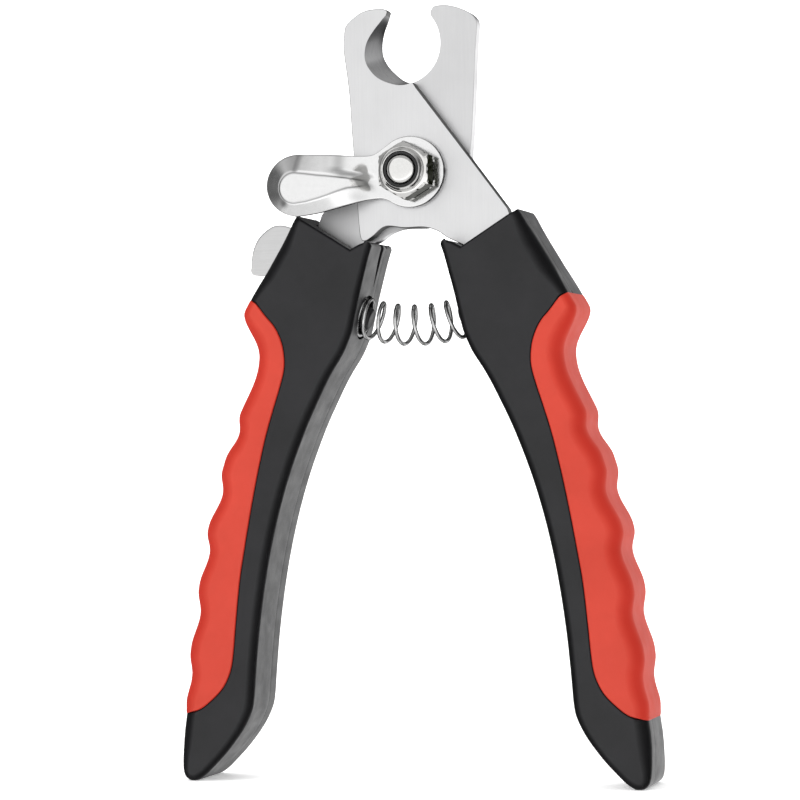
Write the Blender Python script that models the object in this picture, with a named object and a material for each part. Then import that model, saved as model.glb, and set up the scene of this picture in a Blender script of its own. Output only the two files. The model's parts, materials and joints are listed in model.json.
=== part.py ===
"""Pliers-type pet nail trimmer.

Frame: the tool stands open on its two handle feet. The origin is at the middle
of its footprint on the ground, +Z runs up to the blade tips, +X to the right
half, -Y to the front, where the nut is. Outlines are (x, z) in millimetres from
the pivot, for the right half, and mirrored for the left half. Every object's
origin is on the pivot axis, at the shear plane between the two blades.
"""
import math
import bpy
import bmesh
from mathutils import Vector

MM = 0.001

# ---- driving dimensions, millimetres; y is measured from the shear plane ----
PIVOT = (0.0, 0.65, 120.1)   # where the pivot axis crosses the shear plane, from the ground
GAP = 0.3                    # gap between touching pieces
HOLE_CLEARANCE = 0.25        # radial clearance of pins, posts and bolt in their holes
SHARP_ANGLE = 32.0           # edges steeper than this are shaded sharp, degrees

# blades
BLADE_Y = 0.15               # blade face nearest the shear plane
BLADE_THICK = 2.65
BLADE_OUTER_Y = BLADE_Y + BLADE_THICK
EDGE_LAND = 0.25             # straight part of the notch edge, before it is ground wider
NOTCH_POINTS = 18
POCKET_FLOOR_Y = BLADE_Y - GAP
POCKET_OPEN_Y = 4.0          # the pocket's cutter ends here, past the parting plane

# handles
HALF_THICK = 8.0
PART_GAP = 0.15              # half the gap between the two shells of a handle
PART_Y = BLADE_OUTER_Y + PART_GAP  # parting plane: rear on the left, front on the right
CORE_HALF = 4.5              # half thickness of the plastic core under the grip
RIM = 0.9                    # chamfer of the front and back rims
GRIP_WALL = 2.2              # soft wall over the core's outer edge
GRIP_POINTS = 64
GRIP_TOP_DROP = 0.5          # grip's outer edge starts this far below the high shoulder
CORE_POINTS = 30
CORE_LOW_INSET, CORE_HIGH_INSET = 0.6, 1.6       # core's edge stops short of the shoulders
CORE_LOW_NARROW, CORE_HIGH_NARROW = 0.9, 0.6     # extra wall at the core's two ends
CORE_NARROW_REACH = 1.2      # height over which that extra wall fades by a factor e

# pins across the tangs, and spring posts
PIN_R, PIN_HALF = 1.6, 6.0
PIN_PLACES = {"upper": (18.2, -19.5), "lower": (22.6, -37.5)}
POST_R, POST_OUT, POST_IN = 2.2, 1.6, 3.0        # radius, length out of and into the wall
POST_ANGLE = 18.6            # place on the spring's arc, degrees from the middle
POST_BORE_EXTRA = 1.0        # the post's bore is longer than the post by this
PIN_SEGMENTS = 20

# return spring
SPRING_Z = 3.65              # centre of the spring's bent axis
SPRING_R = 33.7              # radius of that axis
SPRING_HALF_ANGLE = 16.3     # degrees each side of the middle
COIL_R, WIRE_R, TURNS = 3.75, 0.4, 6.5
STEPS_PER_TURN, WIRE_SEGMENTS = 14, 6

# pivot stack, from the blades back to the bolt's head, then forward to the nut
BOLT_R = 3.0
BOLT_CHAMFER, BOLT_PROUD = 0.5, 0.1              # front end; proud of the nut
BORE_R = BOLT_R + HOLE_CLEARANCE
BORE_REACH = 20.0            # bore cutters run this far to the front and back
WASHER_R, WASHER_THICK = 5.6, 0.4
WASHER_Y = BLADE_OUTER_Y + GAP
GUARD_THICK = 1.0
GUARD_BOSS_Y = WASHER_Y + WASHER_THICK + GAP     # front face of the guard's boss
HEAD_R, HEAD_Y1 = 5.4, 7.2
HEAD_Y0 = GUARD_BOSS_Y + GUARD_THICK + GAP
HEAD_CHAMFER_R, HEAD_CHAMFER_Y = 1.2, 0.9
LEVER_THICK = 1.2
LEVER_BOSS_Y = -(BLADE_OUTER_Y + GAP + LEVER_THICK)  # front face of the lever's boss
NUT_AF = 10.0                # across flats
NUT_Y0 = LEVER_BOSS_Y - GAP  # back of the nut
NUT_Y1, NUT_Y2 = -9.2, -10.6                     # front of the hexagon and of the crown
CROWN_R, CROWN_CHAMFER = 4.3, 0.4
CROWN_OVERLAP = 0.5          # depth of the crown inside the hexagon
CUT_OVERRUN = 1.0            # the nut's bore cutter runs past its front; stops inside the back
INSERT_R, INSERT_Y0 = 3.6, -9.15
INSERT_Y1 = NUT_Y2 + 0.25
THREAD_R = BOLT_R + 0.2      # bore of the nut and its insert

# thumb lever: s runs left from the pivot axis
LEVER_BOSS_R = 7.0
LEVER_ARM_Y = -9.6           # front face of the arm
LEVER_ARM_START = 4.0        # the arm's edges count beyond this s
LEVER_STEP = (7.2, 14.0)     # s at the start and end of the forward step
LEVER_ROUND_S, LEVER_ROUND_LENGTH = 21.7, 6.2    # start and length of the elliptical end
# edges: (s, z)
LEVER_TOP = [(-4.0, 3.2), (12.0, 3.3), (17.0, 3.5), (LEVER_ROUND_S, 3.7)]
LEVER_LOW = [(-4.0, -4.9), (7.0, -5.3), (9.5, -5.7), (13.0, -6.9), (16.4, -7.8),
             (LEVER_ROUND_S, -8.5)]
LEVER_STATIONS = [-6.95, -6.5, -5.5, -4, -2, 0, 2, 4, 5.2, 6.2, 7.2, 8.56, 9.92, 11.28, 12.64,
                  14, 17, 19.5, 21.7, 23.6, 25.2, 26.5, 27.4, 27.8]

# nail guard: s runs out along its arm from the pivot axis
GUARD_BOSS_R = 6.5
GUARD_ARM_Y = 8.4            # front face of the arm
GUARD_ANGLE = 206.0          # direction of the arm, degrees from +X towards +Z
GUARD_STEP = (8.0, 12.8)     # s at the start and end of the backward step
# edges: (s, distance across from the arm's centre line)
GUARD_UPPER = [(5.0, 4.3), (8.0, 3.4), (12.0, 2.8), (18.0, 1.7), (24.0, 1.5), (27.0, 2.4),
               (29.7, 4.0), (31.4, 5.5), (33.5, 6.2), (36.6, 5.6), (38.8, 4.1), (40.4, 2.1),
               (41.5, 0.5)]
GUARD_LOWER = [(5.0, -4.3), (8.0, -4.0), (12.0, -4.3), (18.0, -4.7), (24.0, -4.9), (29.7, -4.6),
               (33.5, -4.2), (36.6, -3.2), (38.8, -2.3), (40.4, -1.5), (41.5, -0.8)]
GUARD_STATIONS = [-6.45, -6, -4.8, -3, -1, 1, 3, 5, 6.5, 8, 9.2, 10.4, 11.6, 12.8, 15, 18, 21, 24,
                  27, 29.7, 31.4, 33.5, 35, 36.6, 38.8, 40.4, 41.5]

# ---- handle outlines, (x, z) ----
# finger scallops of the grip: (z, depth, width above, width below)
SCALLOPS = [(-36.2, 3.35, 9.6, 13.0), (-51.3, 1.2, 4.5, 4.8), (-63.3, 1.4, 5.0, 6.4),
            (-74.8, 1.25, 4.5, 6.5), (-87.0, 1.1, 5.0, 6.8), (-99.2, 0.8, 4.5, 6.0)]
# outer envelope of the grip through the tops of the scallops
ENVELOPE = [(32.6, -25.0), (33.3, -26.4), (33.75, -28.2), (34.1, -36.0), (34.85, -46.0),
            (38.85, -58.5), (42.1, -70.8), (44.1, -82.4), (45.95, -95.0), (47.1, -107.0)]
# inner edge, from the horn beside the pivot down to the foot
INNER = [(7.0, -14.7), (7.75, -17.0), (8.55, -20.0), (9.6, -24.0), (10.5, -28.0), (11.3, -31.4),
         (12.35, -34.0), (13.35, -36.0), (15.9, -40.0), (18.5, -45.0), (21.3, -51.0),
         (24.4, -59.0), (26.85, -67.0), (28.75, -75.0), (30.1, -82.5), (31.15, -90.0),
         (31.85, -97.0), (32.35, -103.2)]
# round the foot, from the inner to the outer edge
FOOT = [(32.9, -106.2), (34.8, -110.0), (37.8, -114.0), (40.4, -116.8), (42.7, -119.0),
        (44.6, -120.1), (46.3, -119.9), (47.3, -118.6), (47.6, -116.0), (47.55, -112.0)]
# ends of the grip on the outer edge
SHOULDER_LOW, SHOULDER_HIGH = (46.95, -106.9), (32.3, -24.6)
# outer edge above the grip, rising, then the top edge inwards to the horn
OUTER_TOP = [(30.25, -21.0), (29.05, -19.0), (26.65, -15.0), (24.2, -11.0), (23.0, -8.9)]
TOP = [(22.5, -8.2), (11.3, -15.2), (9.6, -14.3), (7.6, -13.9)]
# line where the red grip meets the black shell, falling
SEAM = [(30.9, -25.4), (28.8, -28.0), (27.0, -30.1), (25.7, -32.8), (25.1, -35.5), (25.1, -38.5),
        (26.0, -42.0), (27.3, -46.0), (28.85, -51.0), (30.0, -55.5), (31.2, -60.8),
        (32.45, -67.0), (33.65, -73.5), (34.8, -80.3), (35.65, -88.0), (36.35, -95.2),
        (37.0, -98.4), (38.5, -101.5), (40.9, -104.0), (43.5, -105.9)]

# ---- blade outlines, (x, z), for the plate of the right half ----
# from the tip down the far edge
BLADE_TIP = {
    "front": [(-4.45, 31.9), (-4.75, 32.25), (-5.6, 32.5), (-8.3, 32.45), (-10.5, 31.7),
              (-12.8, 29.9), (-13.45, 28.5), (-13.65, 24.8), (-12.9, 18.8), (-12.5, 14.8),
              (-12.15, 8.8), (-11.8, 3.8)],
    "rear": [(-3.45, 31.9), (-3.95, 32.7), (-4.6, 33.05), (-6.9, 33.05), (-9.6, 32.3),
             (-11.9, 31.0), (-12.95, 29.5), (-12.85, 27.0), (-12.6, 24.0), (-12.2, 16.0),
             (-11.75, 8.1), (-11.4, 3.8)]}
# lower edge, under the pivot to the handle
BLADE_LOW = [(-11.15, -6.2), (-10.6, -12.4), (-9.6, -13.3), (-8.0, -12.4), (-5.4, -10.55),
             (-1.6, -10.9), (2.5, -10.9), (5.3, -11.75), (7.4, -13.15), (10.6, -14.65)]
# round the tang inside the handle and back up towards the notch
TANG = [(13.8, -21.5), (17.0, -32.0), (20.3, -42.0), (21.8, -45.6), (24.6, -46.2), (27.2, -44.0),
        (26.0, -36.0), (24.0, -24.0), (21.8, -14.0), (19.5, -7.7), (12.0, 2.35)]
# sharp edge of the notch, from its foot round to the tip
NOTCH_EDGE = {
    "front": [(0.4, 17.7), (-0.93, 17.95), (-2.14, 18.5), (-3.49, 19.6), (-4.69, 20.8),
              (-5.6, 22.1), (-6.2, 23.5), (-6.36, 25.1), (-6.2, 26.7), (-5.8, 28.3),
              (-5.25, 29.7), (-4.74, 31.1)],
    "rear": [(0.4, 17.95), (-1.22, 18.6), (-2.77, 19.7), (-3.98, 21.0), (-4.86, 22.6),
             (-5.33, 24.2), (-5.45, 26.2), (-5.1, 28.2), (-4.4, 29.8), (-3.6, 31.0)]}
# shift (dx, dz) of the notch edge on the outer face, along the notch
BEVEL = [(0.0, 0.0), (-0.6, -0.5), (-1.8, -0.9), (-2.6, -1.6), (-3.0, -1.9), (-3.1, -1.6),
         (-2.9, -1.1), (-2.5, -0.3), (-1.7, 0.4), (-0.7, 0.4), (-0.2, 0.2)]


# ---- lines and tables ----
def curve(points, step):
    """Catmull-Rom curve through the points, with about one point per step."""
    out = []
    last = len(points) - 1
    for i in range(last):
        before, start = points[max(i - 1, 0)], points[i]
        end, after = points[i + 1], points[min(i + 2, last)]
        count = max(1, round(math.dist(start, end) / step))
        for j in range(count):
            t = j / count
            out.append(tuple(
                0.5 * (2 * b + (c - a) * t + (2 * a - 5 * b + 4 * c - d) * t * t
                       + (3 * b - a - 3 * c + d) * t ** 3)
                for a, b, c, d in zip(before, start, end, after)))
    out.append(points[-1])
    return out


def resample(line, count):
    """Points evenly spaced along a line."""
    total = [0.0]
    for a, b in zip(line, line[1:]):
        total.append(total[-1] + math.dist(a, b))
    out = []
    for i in range(count):
        t = total[-1] * i / (count - 1)
        k = max(j for j in range(len(total) - 1) if total[j] <= t + 1e-9)
        f = (t - total[k]) / (total[k + 1] - total[k])
        (xa, za), (xb, zb) = line[k], line[k + 1]
        out.append((xa + (xb - xa) * f, za + (zb - za) * f))
    return out


def interpolate(table, key):
    """Value at a key in a table of (rising key, value), held level past both ends."""
    for (key_a, a), (key_b, b) in zip(table, table[1:]):
        if key_a <= key <= key_b:
            return a + (b - a) * (key - key_a) / (key_b - key_a)
    return table[0][1] if key < table[0][0] else table[-1][1]


def smooth_step(s, span, y0, y1):
    t = min(1.0, max(0.0, (s - span[0]) / (span[1] - span[0])))
    return y0 + (y1 - y0) * t * t * (3 - 2 * t)


def offset(outline, distance):
    """Closed outline moved outwards by a distance, for either winding."""
    area = sum(a[0] * b[1] - b[0] * a[1] for a, b in zip(outline, outline[1:] + outline[:1]))
    winding = 1.0 if area > 0 else -1.0
    out = []
    for i, b in enumerate(outline):
        a, c = outline[i - 1], outline[(i + 1) % len(outline)]
        edge_in = Vector((b[0] - a[0], b[1] - a[1])).normalized()
        edge_out = Vector((c[0] - b[0], c[1] - b[1])).normalized()
        normal_in = Vector((edge_in.y, -edge_in.x))
        mitre = normal_in + Vector((edge_out.y, -edge_out.x))
        mitre = mitre.normalized() if mitre.length > 1e-6 else normal_in
        # the floor keeps sharp corners from shooting out
        k = distance * winding / max(0.5, mitre.dot(normal_in))
        out.append((b[0] + mitre.x * k, b[1] + mitre.y * k))
    return out


# ---- rings ----
def level(outline, y, side):
    """Outline as a ring at one y; side is 1 for the right half, -1 for the left."""
    return [(side * x, y, z) for x, z in outline]


def circle(radius, y, count=32, centre=(0.0, 0.0), phase=0.0):
    angles = [phase + 2 * math.pi * i / count for i in range(count)]
    return [(centre[0] + radius * math.cos(a), y, centre[1] + radius * math.sin(a))
            for a in angles]


def turned(profile):
    """Rings about the pivot axis from a profile of (radius, y)."""
    return [circle(radius, y) for radius, y in profile]


def tilted_cylinder(base, axis, radius, length):
    """Rings of a cylinder from its base point along a unit axis in the X-Z plane."""
    along = Vector((axis[0], 0, axis[1])).normalized()
    u = Vector((0, 1, 0))
    w = along.cross(u)
    rings = []
    for s in (0.0, length):
        centre = Vector((base[0], 0, base[1])) + along * s
        angles = [2 * math.pi * i / PIN_SEGMENTS for i in range(PIN_SEGMENTS)]
        rings.append([tuple(centre + u * (radius * math.cos(a)) + w * (radius * math.sin(a)))
                      for a in angles])
    return rings


def strip_ring(along, across, s, low, top, y0, y1):
    """Rectangular section of a flat strip, at s along it."""
    return [(along[0] * s + across[0] * v, y, along[1] * s + across[1] * v)
            for v, y in ((low, y0), (top, y0), (top, y1), (low, y1))]


# ---- objects ----
def loft(name, rings, mat):
    """Skin a list of rings of equal length, with flat end caps."""
    bm = bmesh.new()
    verts = [[bm.verts.new(Vector(p) * MM) for p in ring] for ring in rings]
    count = len(rings[0])
    for a, b in zip(verts, verts[1:]):
        for i in range(count):
            j = (i + 1) % count
            bm.faces.new((a[i], a[j], b[j], b[i]))
    bm.faces.new(verts[0])
    bm.faces.new(verts[-1])
    bmesh.ops.remove_doubles(bm, verts=bm.verts, dist=1e-6)
    bmesh.ops.recalc_face_normals(bm, faces=bm.faces)
    mesh = bpy.data.meshes.new(name)
    bm.to_mesh(mesh)
    bm.free()
    mesh.shade_smooth()
    mesh.set_sharp_from_angle(angle=math.radians(SHARP_ANGLE))
    obj = bpy.data.objects.new(name, mesh)
    bpy.context.collection.objects.link(obj)
    obj.location = Vector(PIVOT) * MM
    if mat:
        mesh.materials.append(mat)
    return obj


def cutter(name, rings):
    """Helper solid for a boolean, hidden in renders."""
    obj = loft(name, rings, None)
    obj.hide_render = True
    obj.display_type = 'WIRE'
    return obj


def cut(target, tool, operation='DIFFERENCE'):
    mod = target.modifiers.new(tool.name, 'BOOLEAN')
    mod.operation = operation
    mod.object = tool
    mod.solver = 'EXACT'


def material(name, colour, roughness, metallic=0.0):
    mat = bpy.data.materials.new(name)
    mat.use_nodes = True
    inputs = mat.node_tree.nodes["Principled BSDF"].inputs
    inputs["Base Color"].default_value = (*colour, 1.0)
    inputs["Roughness"].default_value = roughness
    inputs["Metallic"].default_value = metallic
    mat.diffuse_color = (*colour, 1.0)
    return mat


# ---- outlines ----
# the envelope as (depth below the pivot, x)
ENVELOPE_BY_DEPTH = [(-z, x) for x, z in curve(ENVELOPE, step=1.0)]


def outer_x(z):
    """Outer edge of the grip: the envelope less the finger scallops."""
    x = interpolate(ENVELOPE_BY_DEPTH, -z)
    for middle, depth, above, below in SCALLOPS:
        width = above if z > middle else below
        if abs(z - middle) < width:
            x -= depth * math.cos(0.5 * math.pi * (z - middle) / width) ** 2
    return x


def core_edge():
    """Outer edge of the core under the grip, rising."""
    low = SHOULDER_LOW[1] + CORE_LOW_INSET
    high = SHOULDER_HIGH[1] - CORE_HIGH_INSET
    heights = [low + (high - low) * i / (CORE_POINTS - 1) for i in range(CORE_POINTS)]
    return [(outer_x(z) - GRIP_WALL
             - CORE_LOW_NARROW * math.exp(-abs(z - heights[0]) / CORE_NARROW_REACH)
             - CORE_HIGH_NARROW * math.exp(-abs(z - heights[-1]) / CORE_NARROW_REACH), z)
            for z in heights]


def handle_outlines():
    """Closed outlines of the core and the shell, and the rising seam line."""
    inner = curve(INNER, step=4.0) + curve(FOOT, step=3.0)
    shared = [SHOULDER_HIGH] + OUTER_TOP + TOP + inner + [SHOULDER_LOW]
    line = curve([SHOULDER_HIGH] + SEAM + [SHOULDER_LOW], step=3.0)[1:-1]
    # as many points as the core's edge, so that the two outlines loft together
    seam = resample(line, CORE_POINTS)[::-1]
    return shared + core_edge(), shared + seam, seam


def grip_outline(seam):
    """Outer edge of the grip, falling, then the seam less the gap to the shell."""
    start, end = SHOULDER_HIGH[1] - GRIP_TOP_DROP, SHOULDER_LOW[1]
    heights = [start + (end - start) * i / (GRIP_POINTS - 1) for i in range(GRIP_POINTS)]
    edge = [(outer_x(z), z) for z in heights]
    return edge + offset(edge + seam, -GAP)[GRIP_POINTS:]


def blade_outlines(which):
    """Outline at the shear plane, and at the outer face, where the notch is ground wider."""
    body = curve(BLADE_TIP[which] + BLADE_LOW, step=3.0) + TANG
    edge = resample(curve(NOTCH_EDGE[which], step=1.0), NOTCH_POINTS)
    bevel = resample(curve(BEVEL, step=0.3), NOTCH_POINTS)
    face = [(x + dx, z + dz) for (x, z), (dx, dz) in zip(edge, bevel)]
    return body + edge, body + face


# ---- pieces of one half ----
def handle_shells(hand, side, core, outline, black):
    """Front and back shells, parted in front on the right and behind on the left."""
    inset = offset(outline, -RIM)
    shells = {}
    for face, out in (("front", -1), ("back", 1)):
        rings = [level(core, -side * PART_Y + out * PART_GAP, side),
                 level(core, out * CORE_HALF, side),
                 level(outline, out * CORE_HALF, side),
                 level(outline, out * (HALF_THICK - RIM), side),
                 level(inset, out * HALF_THICK, side)]
        shells[face] = loft(f"{hand}_handle_{face}_shell", rings, black)
    return shells


def tang_pin(hand, side, label, zinc):
    """Pin across the tang; returns the cutter of its blind holes."""
    x, z = PIN_PLACES[label]

    def rings(radius, half):
        return [circle(radius, y, PIN_SEGMENTS, (side * x, z)) for y in (-half, half)]

    loft(f"{hand}_tang_pin_{label}", rings(PIN_R, PIN_HALF), zinc)
    return cutter(f"cut_{hand}_pin_{label}", rings(PIN_R + HOLE_CLEARANCE, PIN_HALF + GAP))


def spring_post(hand, side, black):
    """Post in the handle's inner wall, along the spring's axis; returns its bore's cutter."""
    angle = math.radians(POST_ANGLE)
    wall = (side * SPRING_R * math.sin(angle), SPRING_Z - SPRING_R * math.cos(angle))
    inward = (-side * math.cos(angle), -math.sin(angle))
    base = [w - d * POST_IN for w, d in zip(wall, inward)]
    deep = [b - d * GAP for b, d in zip(base, inward)]
    length = POST_IN + POST_OUT
    loft(f"{hand}_spring_post", tilted_cylinder(base, inward, POST_R, length), black)
    return cutter(f"cut_{hand}_post", tilted_cylinder(
        deep, inward, POST_R + HOLE_CLEARANCE, length + POST_BORE_EXTRA))


def soft_grip(hand, side, core, seam, red):
    """Grip that wraps the core from the front round the outer edge to the back."""
    outline = grip_outline(seam)
    inset = offset(outline, -RIM)
    rings = [level(inset, -HALF_THICK, side), level(outline, -HALF_THICK + RIM, side),
             level(outline, HALF_THICK - RIM, side), level(inset, HALF_THICK, side)]
    grip = loft(f"{hand}_grip", rings, red)
    wide = offset(core, GAP)
    reach = CORE_HALF + GAP
    cut(grip, cutter(f"cut_{hand}_core", [level(wide, y, side) for y in (-reach, reach)]))


def blade_plate(which, side, holes, steel):
    """Blade with its holes; returns the cutter of its pocket in the handle."""
    edge, face = blade_outlines(which)
    rings = [level(edge, -side * BLADE_Y, side),
             level(edge, -side * (BLADE_Y + EDGE_LAND), side),
             level(face, -side * BLADE_OUTER_Y, side)]
    blade = loft(f"{which}_blade", rings, steel)
    for hole in holes:
        cut(blade, hole)
    wide = offset(edge, GAP)
    return cutter(f"cut_{which}_tang", [level(wide, -side * y, side)
                                        for y in (POCKET_FLOOR_Y, POCKET_OPEN_Y)])


def build_half(hand, side, which, deep_face, pivot_bore, mats):
    """Handle and blade; the deep shell holds the blade's pocket and the post's bore."""
    core, outline, seam = handle_outlines()
    shells = handle_shells(hand, side, core, outline, mats["black"])
    pin_holes = [tang_pin(hand, side, label, mats["zinc"]) for label in PIN_PLACES]
    for shell in shells.values():
        for hole in pin_holes:
            cut(shell, hole)
    cut(shells[deep_face], spring_post(hand, side, mats["black"]))
    soft_grip(hand, side, core, seam, mats["red"])
    pocket = blade_plate(which, side, [pivot_bore] + pin_holes, mats["steel"])
    cut(shells[deep_face], pocket)


# ---- pieces on the pivot ----
def pivot_bolt(zinc):
    loft("pivot_bolt", turned([
        (BOLT_R - BOLT_CHAMFER, NUT_Y2 - BOLT_PROUD),
        (BOLT_R, NUT_Y2 - BOLT_PROUD + BOLT_CHAMFER), (BOLT_R, HEAD_Y0), (HEAD_R, HEAD_Y0),
        (HEAD_R, HEAD_Y1 - HEAD_CHAMFER_Y), (HEAD_R - HEAD_CHAMFER_R, HEAD_Y1)]), zinc)


def lock_nut(zinc, nylon):
    """Hexagon with a round crown, and the nylon ring inside the crown."""
    corner_r = NUT_AF / math.sqrt(3)
    nut = loft("lock_nut", [circle(corner_r, y, 6, phase=math.pi / 2)
                            for y in (NUT_Y0, NUT_Y1)], zinc)
    cut(nut, cutter("cut_nut_crown", turned([
        (CROWN_R, NUT_Y1 + CROWN_OVERLAP), (CROWN_R, NUT_Y2 + CROWN_CHAMFER),
        (CROWN_R - CROWN_CHAMFER, NUT_Y2)])), 'UNION')
    seat_r, seat_y = INSERT_R + HOLE_CLEARANCE, INSERT_Y0 + HOLE_CLEARANCE
    cut(nut, cutter("cut_nut_bore", turned([
        (THREAD_R, NUT_Y0 + CUT_OVERRUN), (THREAD_R, seat_y),
        (seat_r, seat_y), (seat_r, NUT_Y2 - CUT_OVERRUN)])))
    insert = loft("nut_nylon_insert", turned([(INSERT_R, INSERT_Y0), (INSERT_R, INSERT_Y1)]),
                  nylon)
    cut(insert, cutter("cut_small_bore", turned([(THREAD_R, -BORE_REACH),
                                                 (THREAD_R, BORE_REACH)])))


def pivot_washer(bore, zinc):
    washer = loft("pivot_washer", turned([(WASHER_R, WASHER_Y),
                                          (WASHER_R, WASHER_Y + WASHER_THICK)]), zinc)
    cut(washer, bore)


def lever_edges(s):
    """Upper and lower edge heights of the lever at s."""
    top_end, low_end = LEVER_TOP[-1][1], LEVER_LOW[-1][1]
    if s > LEVER_ROUND_S:
        t = (s - LEVER_ROUND_S) / LEVER_ROUND_LENGTH
        middle = (top_end + low_end) / 2
        half = (top_end - low_end) / 2 * math.sqrt(1 - t * t)
        return middle + half, middle - half
    boss = math.sqrt(max(0.0, LEVER_BOSS_R ** 2 - s * s))
    if s > LEVER_ARM_START:
        return max(interpolate(LEVER_TOP, s), boss), min(interpolate(LEVER_LOW, s), -boss)
    return boss, -boss


def lock_lever(bore, bright):
    """A disc behind the nut, a neck that steps forward, and an arm with a rounded end."""
    rings = []
    for s in LEVER_STATIONS:
        top, low = lever_edges(s)
        y = smooth_step(s, LEVER_STEP, LEVER_BOSS_Y, LEVER_ARM_Y)
        rings.append(strip_ring((-1, 0), (0, 1), s, low, top, y + LEVER_THICK, y))
    cut(loft("lock_lever", rings, bright), bore)


def nail_guard(bore, bright):
    """A thin plate behind the blades that steps back to an arm with a wide tab at its end."""
    angle = math.radians(GUARD_ANGLE)
    along = (math.cos(angle), math.sin(angle))
    across = (math.sin(angle), -math.cos(angle))
    rings = []
    for s in GUARD_STATIONS:
        if s < GUARD_UPPER[0][0]:
            top = math.sqrt(GUARD_BOSS_R ** 2 - s * s)
            low = -top
        else:
            top, low = interpolate(GUARD_UPPER, s), interpolate(GUARD_LOWER, s)
        y = smooth_step(s, GUARD_STEP, GUARD_BOSS_Y, GUARD_ARM_Y)
        rings.append(strip_ring(along, across, s, low, top, y, y + GUARD_THICK))
    cut(loft("nail_guard", rings, bright), bore)


def return_spring(wire):
    """Compression spring, bent in an arc between the two posts."""
    half = math.radians(SPRING_HALF_ANGLE)
    steps = int(TURNS * STEPS_PER_TURN)
    angles = [2 * math.pi * k / WIRE_SEGMENTS for k in range(WIRE_SEGMENTS)]
    rings = []
    for i in range(steps + 1):
        t = i / steps
        bend = -half + 2 * half * t
        turn = 2 * math.pi * TURNS * t
        radial = Vector((math.sin(bend), 0, -math.cos(bend)))
        along = Vector((math.cos(bend), 0, math.sin(bend)))
        out = radial * math.cos(turn) + Vector((0, 1, 0)) * math.sin(turn)
        centre = Vector((0, 0, SPRING_Z)) + radial * SPRING_R + out * COIL_R
        rings.append([tuple(centre + out * (WIRE_R * math.cos(a)) + along * (WIRE_R * math.sin(a)))
                      for a in angles])
    loft("return_spring", rings, wire)


def make_materials():
    return {
        "black": material("black_plastic", colour=(0.045, 0.045, 0.048), roughness=0.42),
        "red": material("red_rubber", colour=(0.68, 0.07, 0.04), roughness=0.55),
        "steel": material("blade_steel", colour=(0.72, 0.73, 0.74), roughness=0.28, metallic=1.0),
        "bright": material("bright_plating", colour=(0.80, 0.80, 0.81), roughness=0.16,
                           metallic=1.0),
        "zinc": material("zinc_steel", colour=(0.62, 0.63, 0.64), roughness=0.30, metallic=1.0),
        "nylon": material("black_nylon", colour=(0.02, 0.02, 0.022), roughness=0.5),
        "wire": material("spring_wire", colour=(0.66, 0.67, 0.68), roughness=0.25, metallic=1.0),
    }


def build():
    mats = make_materials()
    bore = cutter("cut_pivot_bore", turned([(BORE_R, -BORE_REACH), (BORE_R, BORE_REACH)]))
    build_half("right", 1, "front", "back", bore, mats)
    build_half("left", -1, "rear", "front", bore, mats)
    pivot_bolt(mats["zinc"])
    lock_nut(mats["zinc"], mats["nylon"])
    pivot_washer(bore, mats["zinc"])
    lock_lever(bore, mats["bright"])
    nail_guard(bore, mats["bright"])
    return_spring(mats["wire"])


for old in list(bpy.data.objects):
    bpy.data.objects.remove(old, do_unlink=True)
build()
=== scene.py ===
"""Looks of a pet nail trimmer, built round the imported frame.

The trimmer stands upright: blades up (+Z), handles down, its front towards -Y and its right towards
+X. Shapes are in mm from the pivot, whose axis runs along Y, and become metres as meshes are made.
Outlines are drawn for the right side (+X) and mirrored by side = -1.
"""
import bpy
import bmesh
import json
import math
from mathutils import Vector, Matrix


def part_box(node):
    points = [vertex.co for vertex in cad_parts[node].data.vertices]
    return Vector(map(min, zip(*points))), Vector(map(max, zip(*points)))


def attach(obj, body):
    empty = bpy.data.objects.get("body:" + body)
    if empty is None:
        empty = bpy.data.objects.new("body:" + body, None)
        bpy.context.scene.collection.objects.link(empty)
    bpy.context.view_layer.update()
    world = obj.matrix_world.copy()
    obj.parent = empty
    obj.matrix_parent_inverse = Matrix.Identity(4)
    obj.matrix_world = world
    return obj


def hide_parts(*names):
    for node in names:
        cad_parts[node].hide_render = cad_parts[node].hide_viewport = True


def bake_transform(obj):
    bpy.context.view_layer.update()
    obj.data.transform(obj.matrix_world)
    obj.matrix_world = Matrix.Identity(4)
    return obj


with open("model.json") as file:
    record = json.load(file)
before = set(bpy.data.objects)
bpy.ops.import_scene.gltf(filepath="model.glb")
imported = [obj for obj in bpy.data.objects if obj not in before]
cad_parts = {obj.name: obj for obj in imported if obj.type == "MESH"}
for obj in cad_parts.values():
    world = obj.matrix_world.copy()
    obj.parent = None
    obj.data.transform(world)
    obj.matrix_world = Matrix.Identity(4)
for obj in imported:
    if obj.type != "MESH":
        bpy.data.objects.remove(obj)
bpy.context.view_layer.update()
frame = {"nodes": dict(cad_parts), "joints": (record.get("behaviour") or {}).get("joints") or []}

MM = 0.001
PIVOT = Vector(next(j["pos_m"] for j in frame["joints"] if j["name"] == "handle_squeeze"))
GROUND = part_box("left_handle_front_shell")[0].z


# ============================================================ curves and outlines
def curve(points, step):
    """Catmull-Rom curve through the points."""
    out, n = [], len(points)
    for i in range(n - 1):
        p0, p1 = points[max(i - 1, 0)], points[i]
        p2, p3 = points[i + 1], points[min(i + 2, n - 1)]
        count = max(1, round(math.dist(p1, p2) / step))
        for j in range(count):
            t = j / count
            out.append(tuple(0.5 * (2 * b + (c - a) * t + (2 * a - 5 * b + 4 * c - d) * t * t
                                    + (3 * b - a - 3 * c + d) * t ** 3)
                             for a, b, c, d in zip(p0, p1, p2, p3)))
    out.append(points[-1])
    return out


def lengths(points):
    """Distance along the polyline at each of its points."""
    out = [0.0]
    for a, b in zip(points, points[1:]):
        out.append(out[-1] + math.dist(a, b))
    return out


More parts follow.
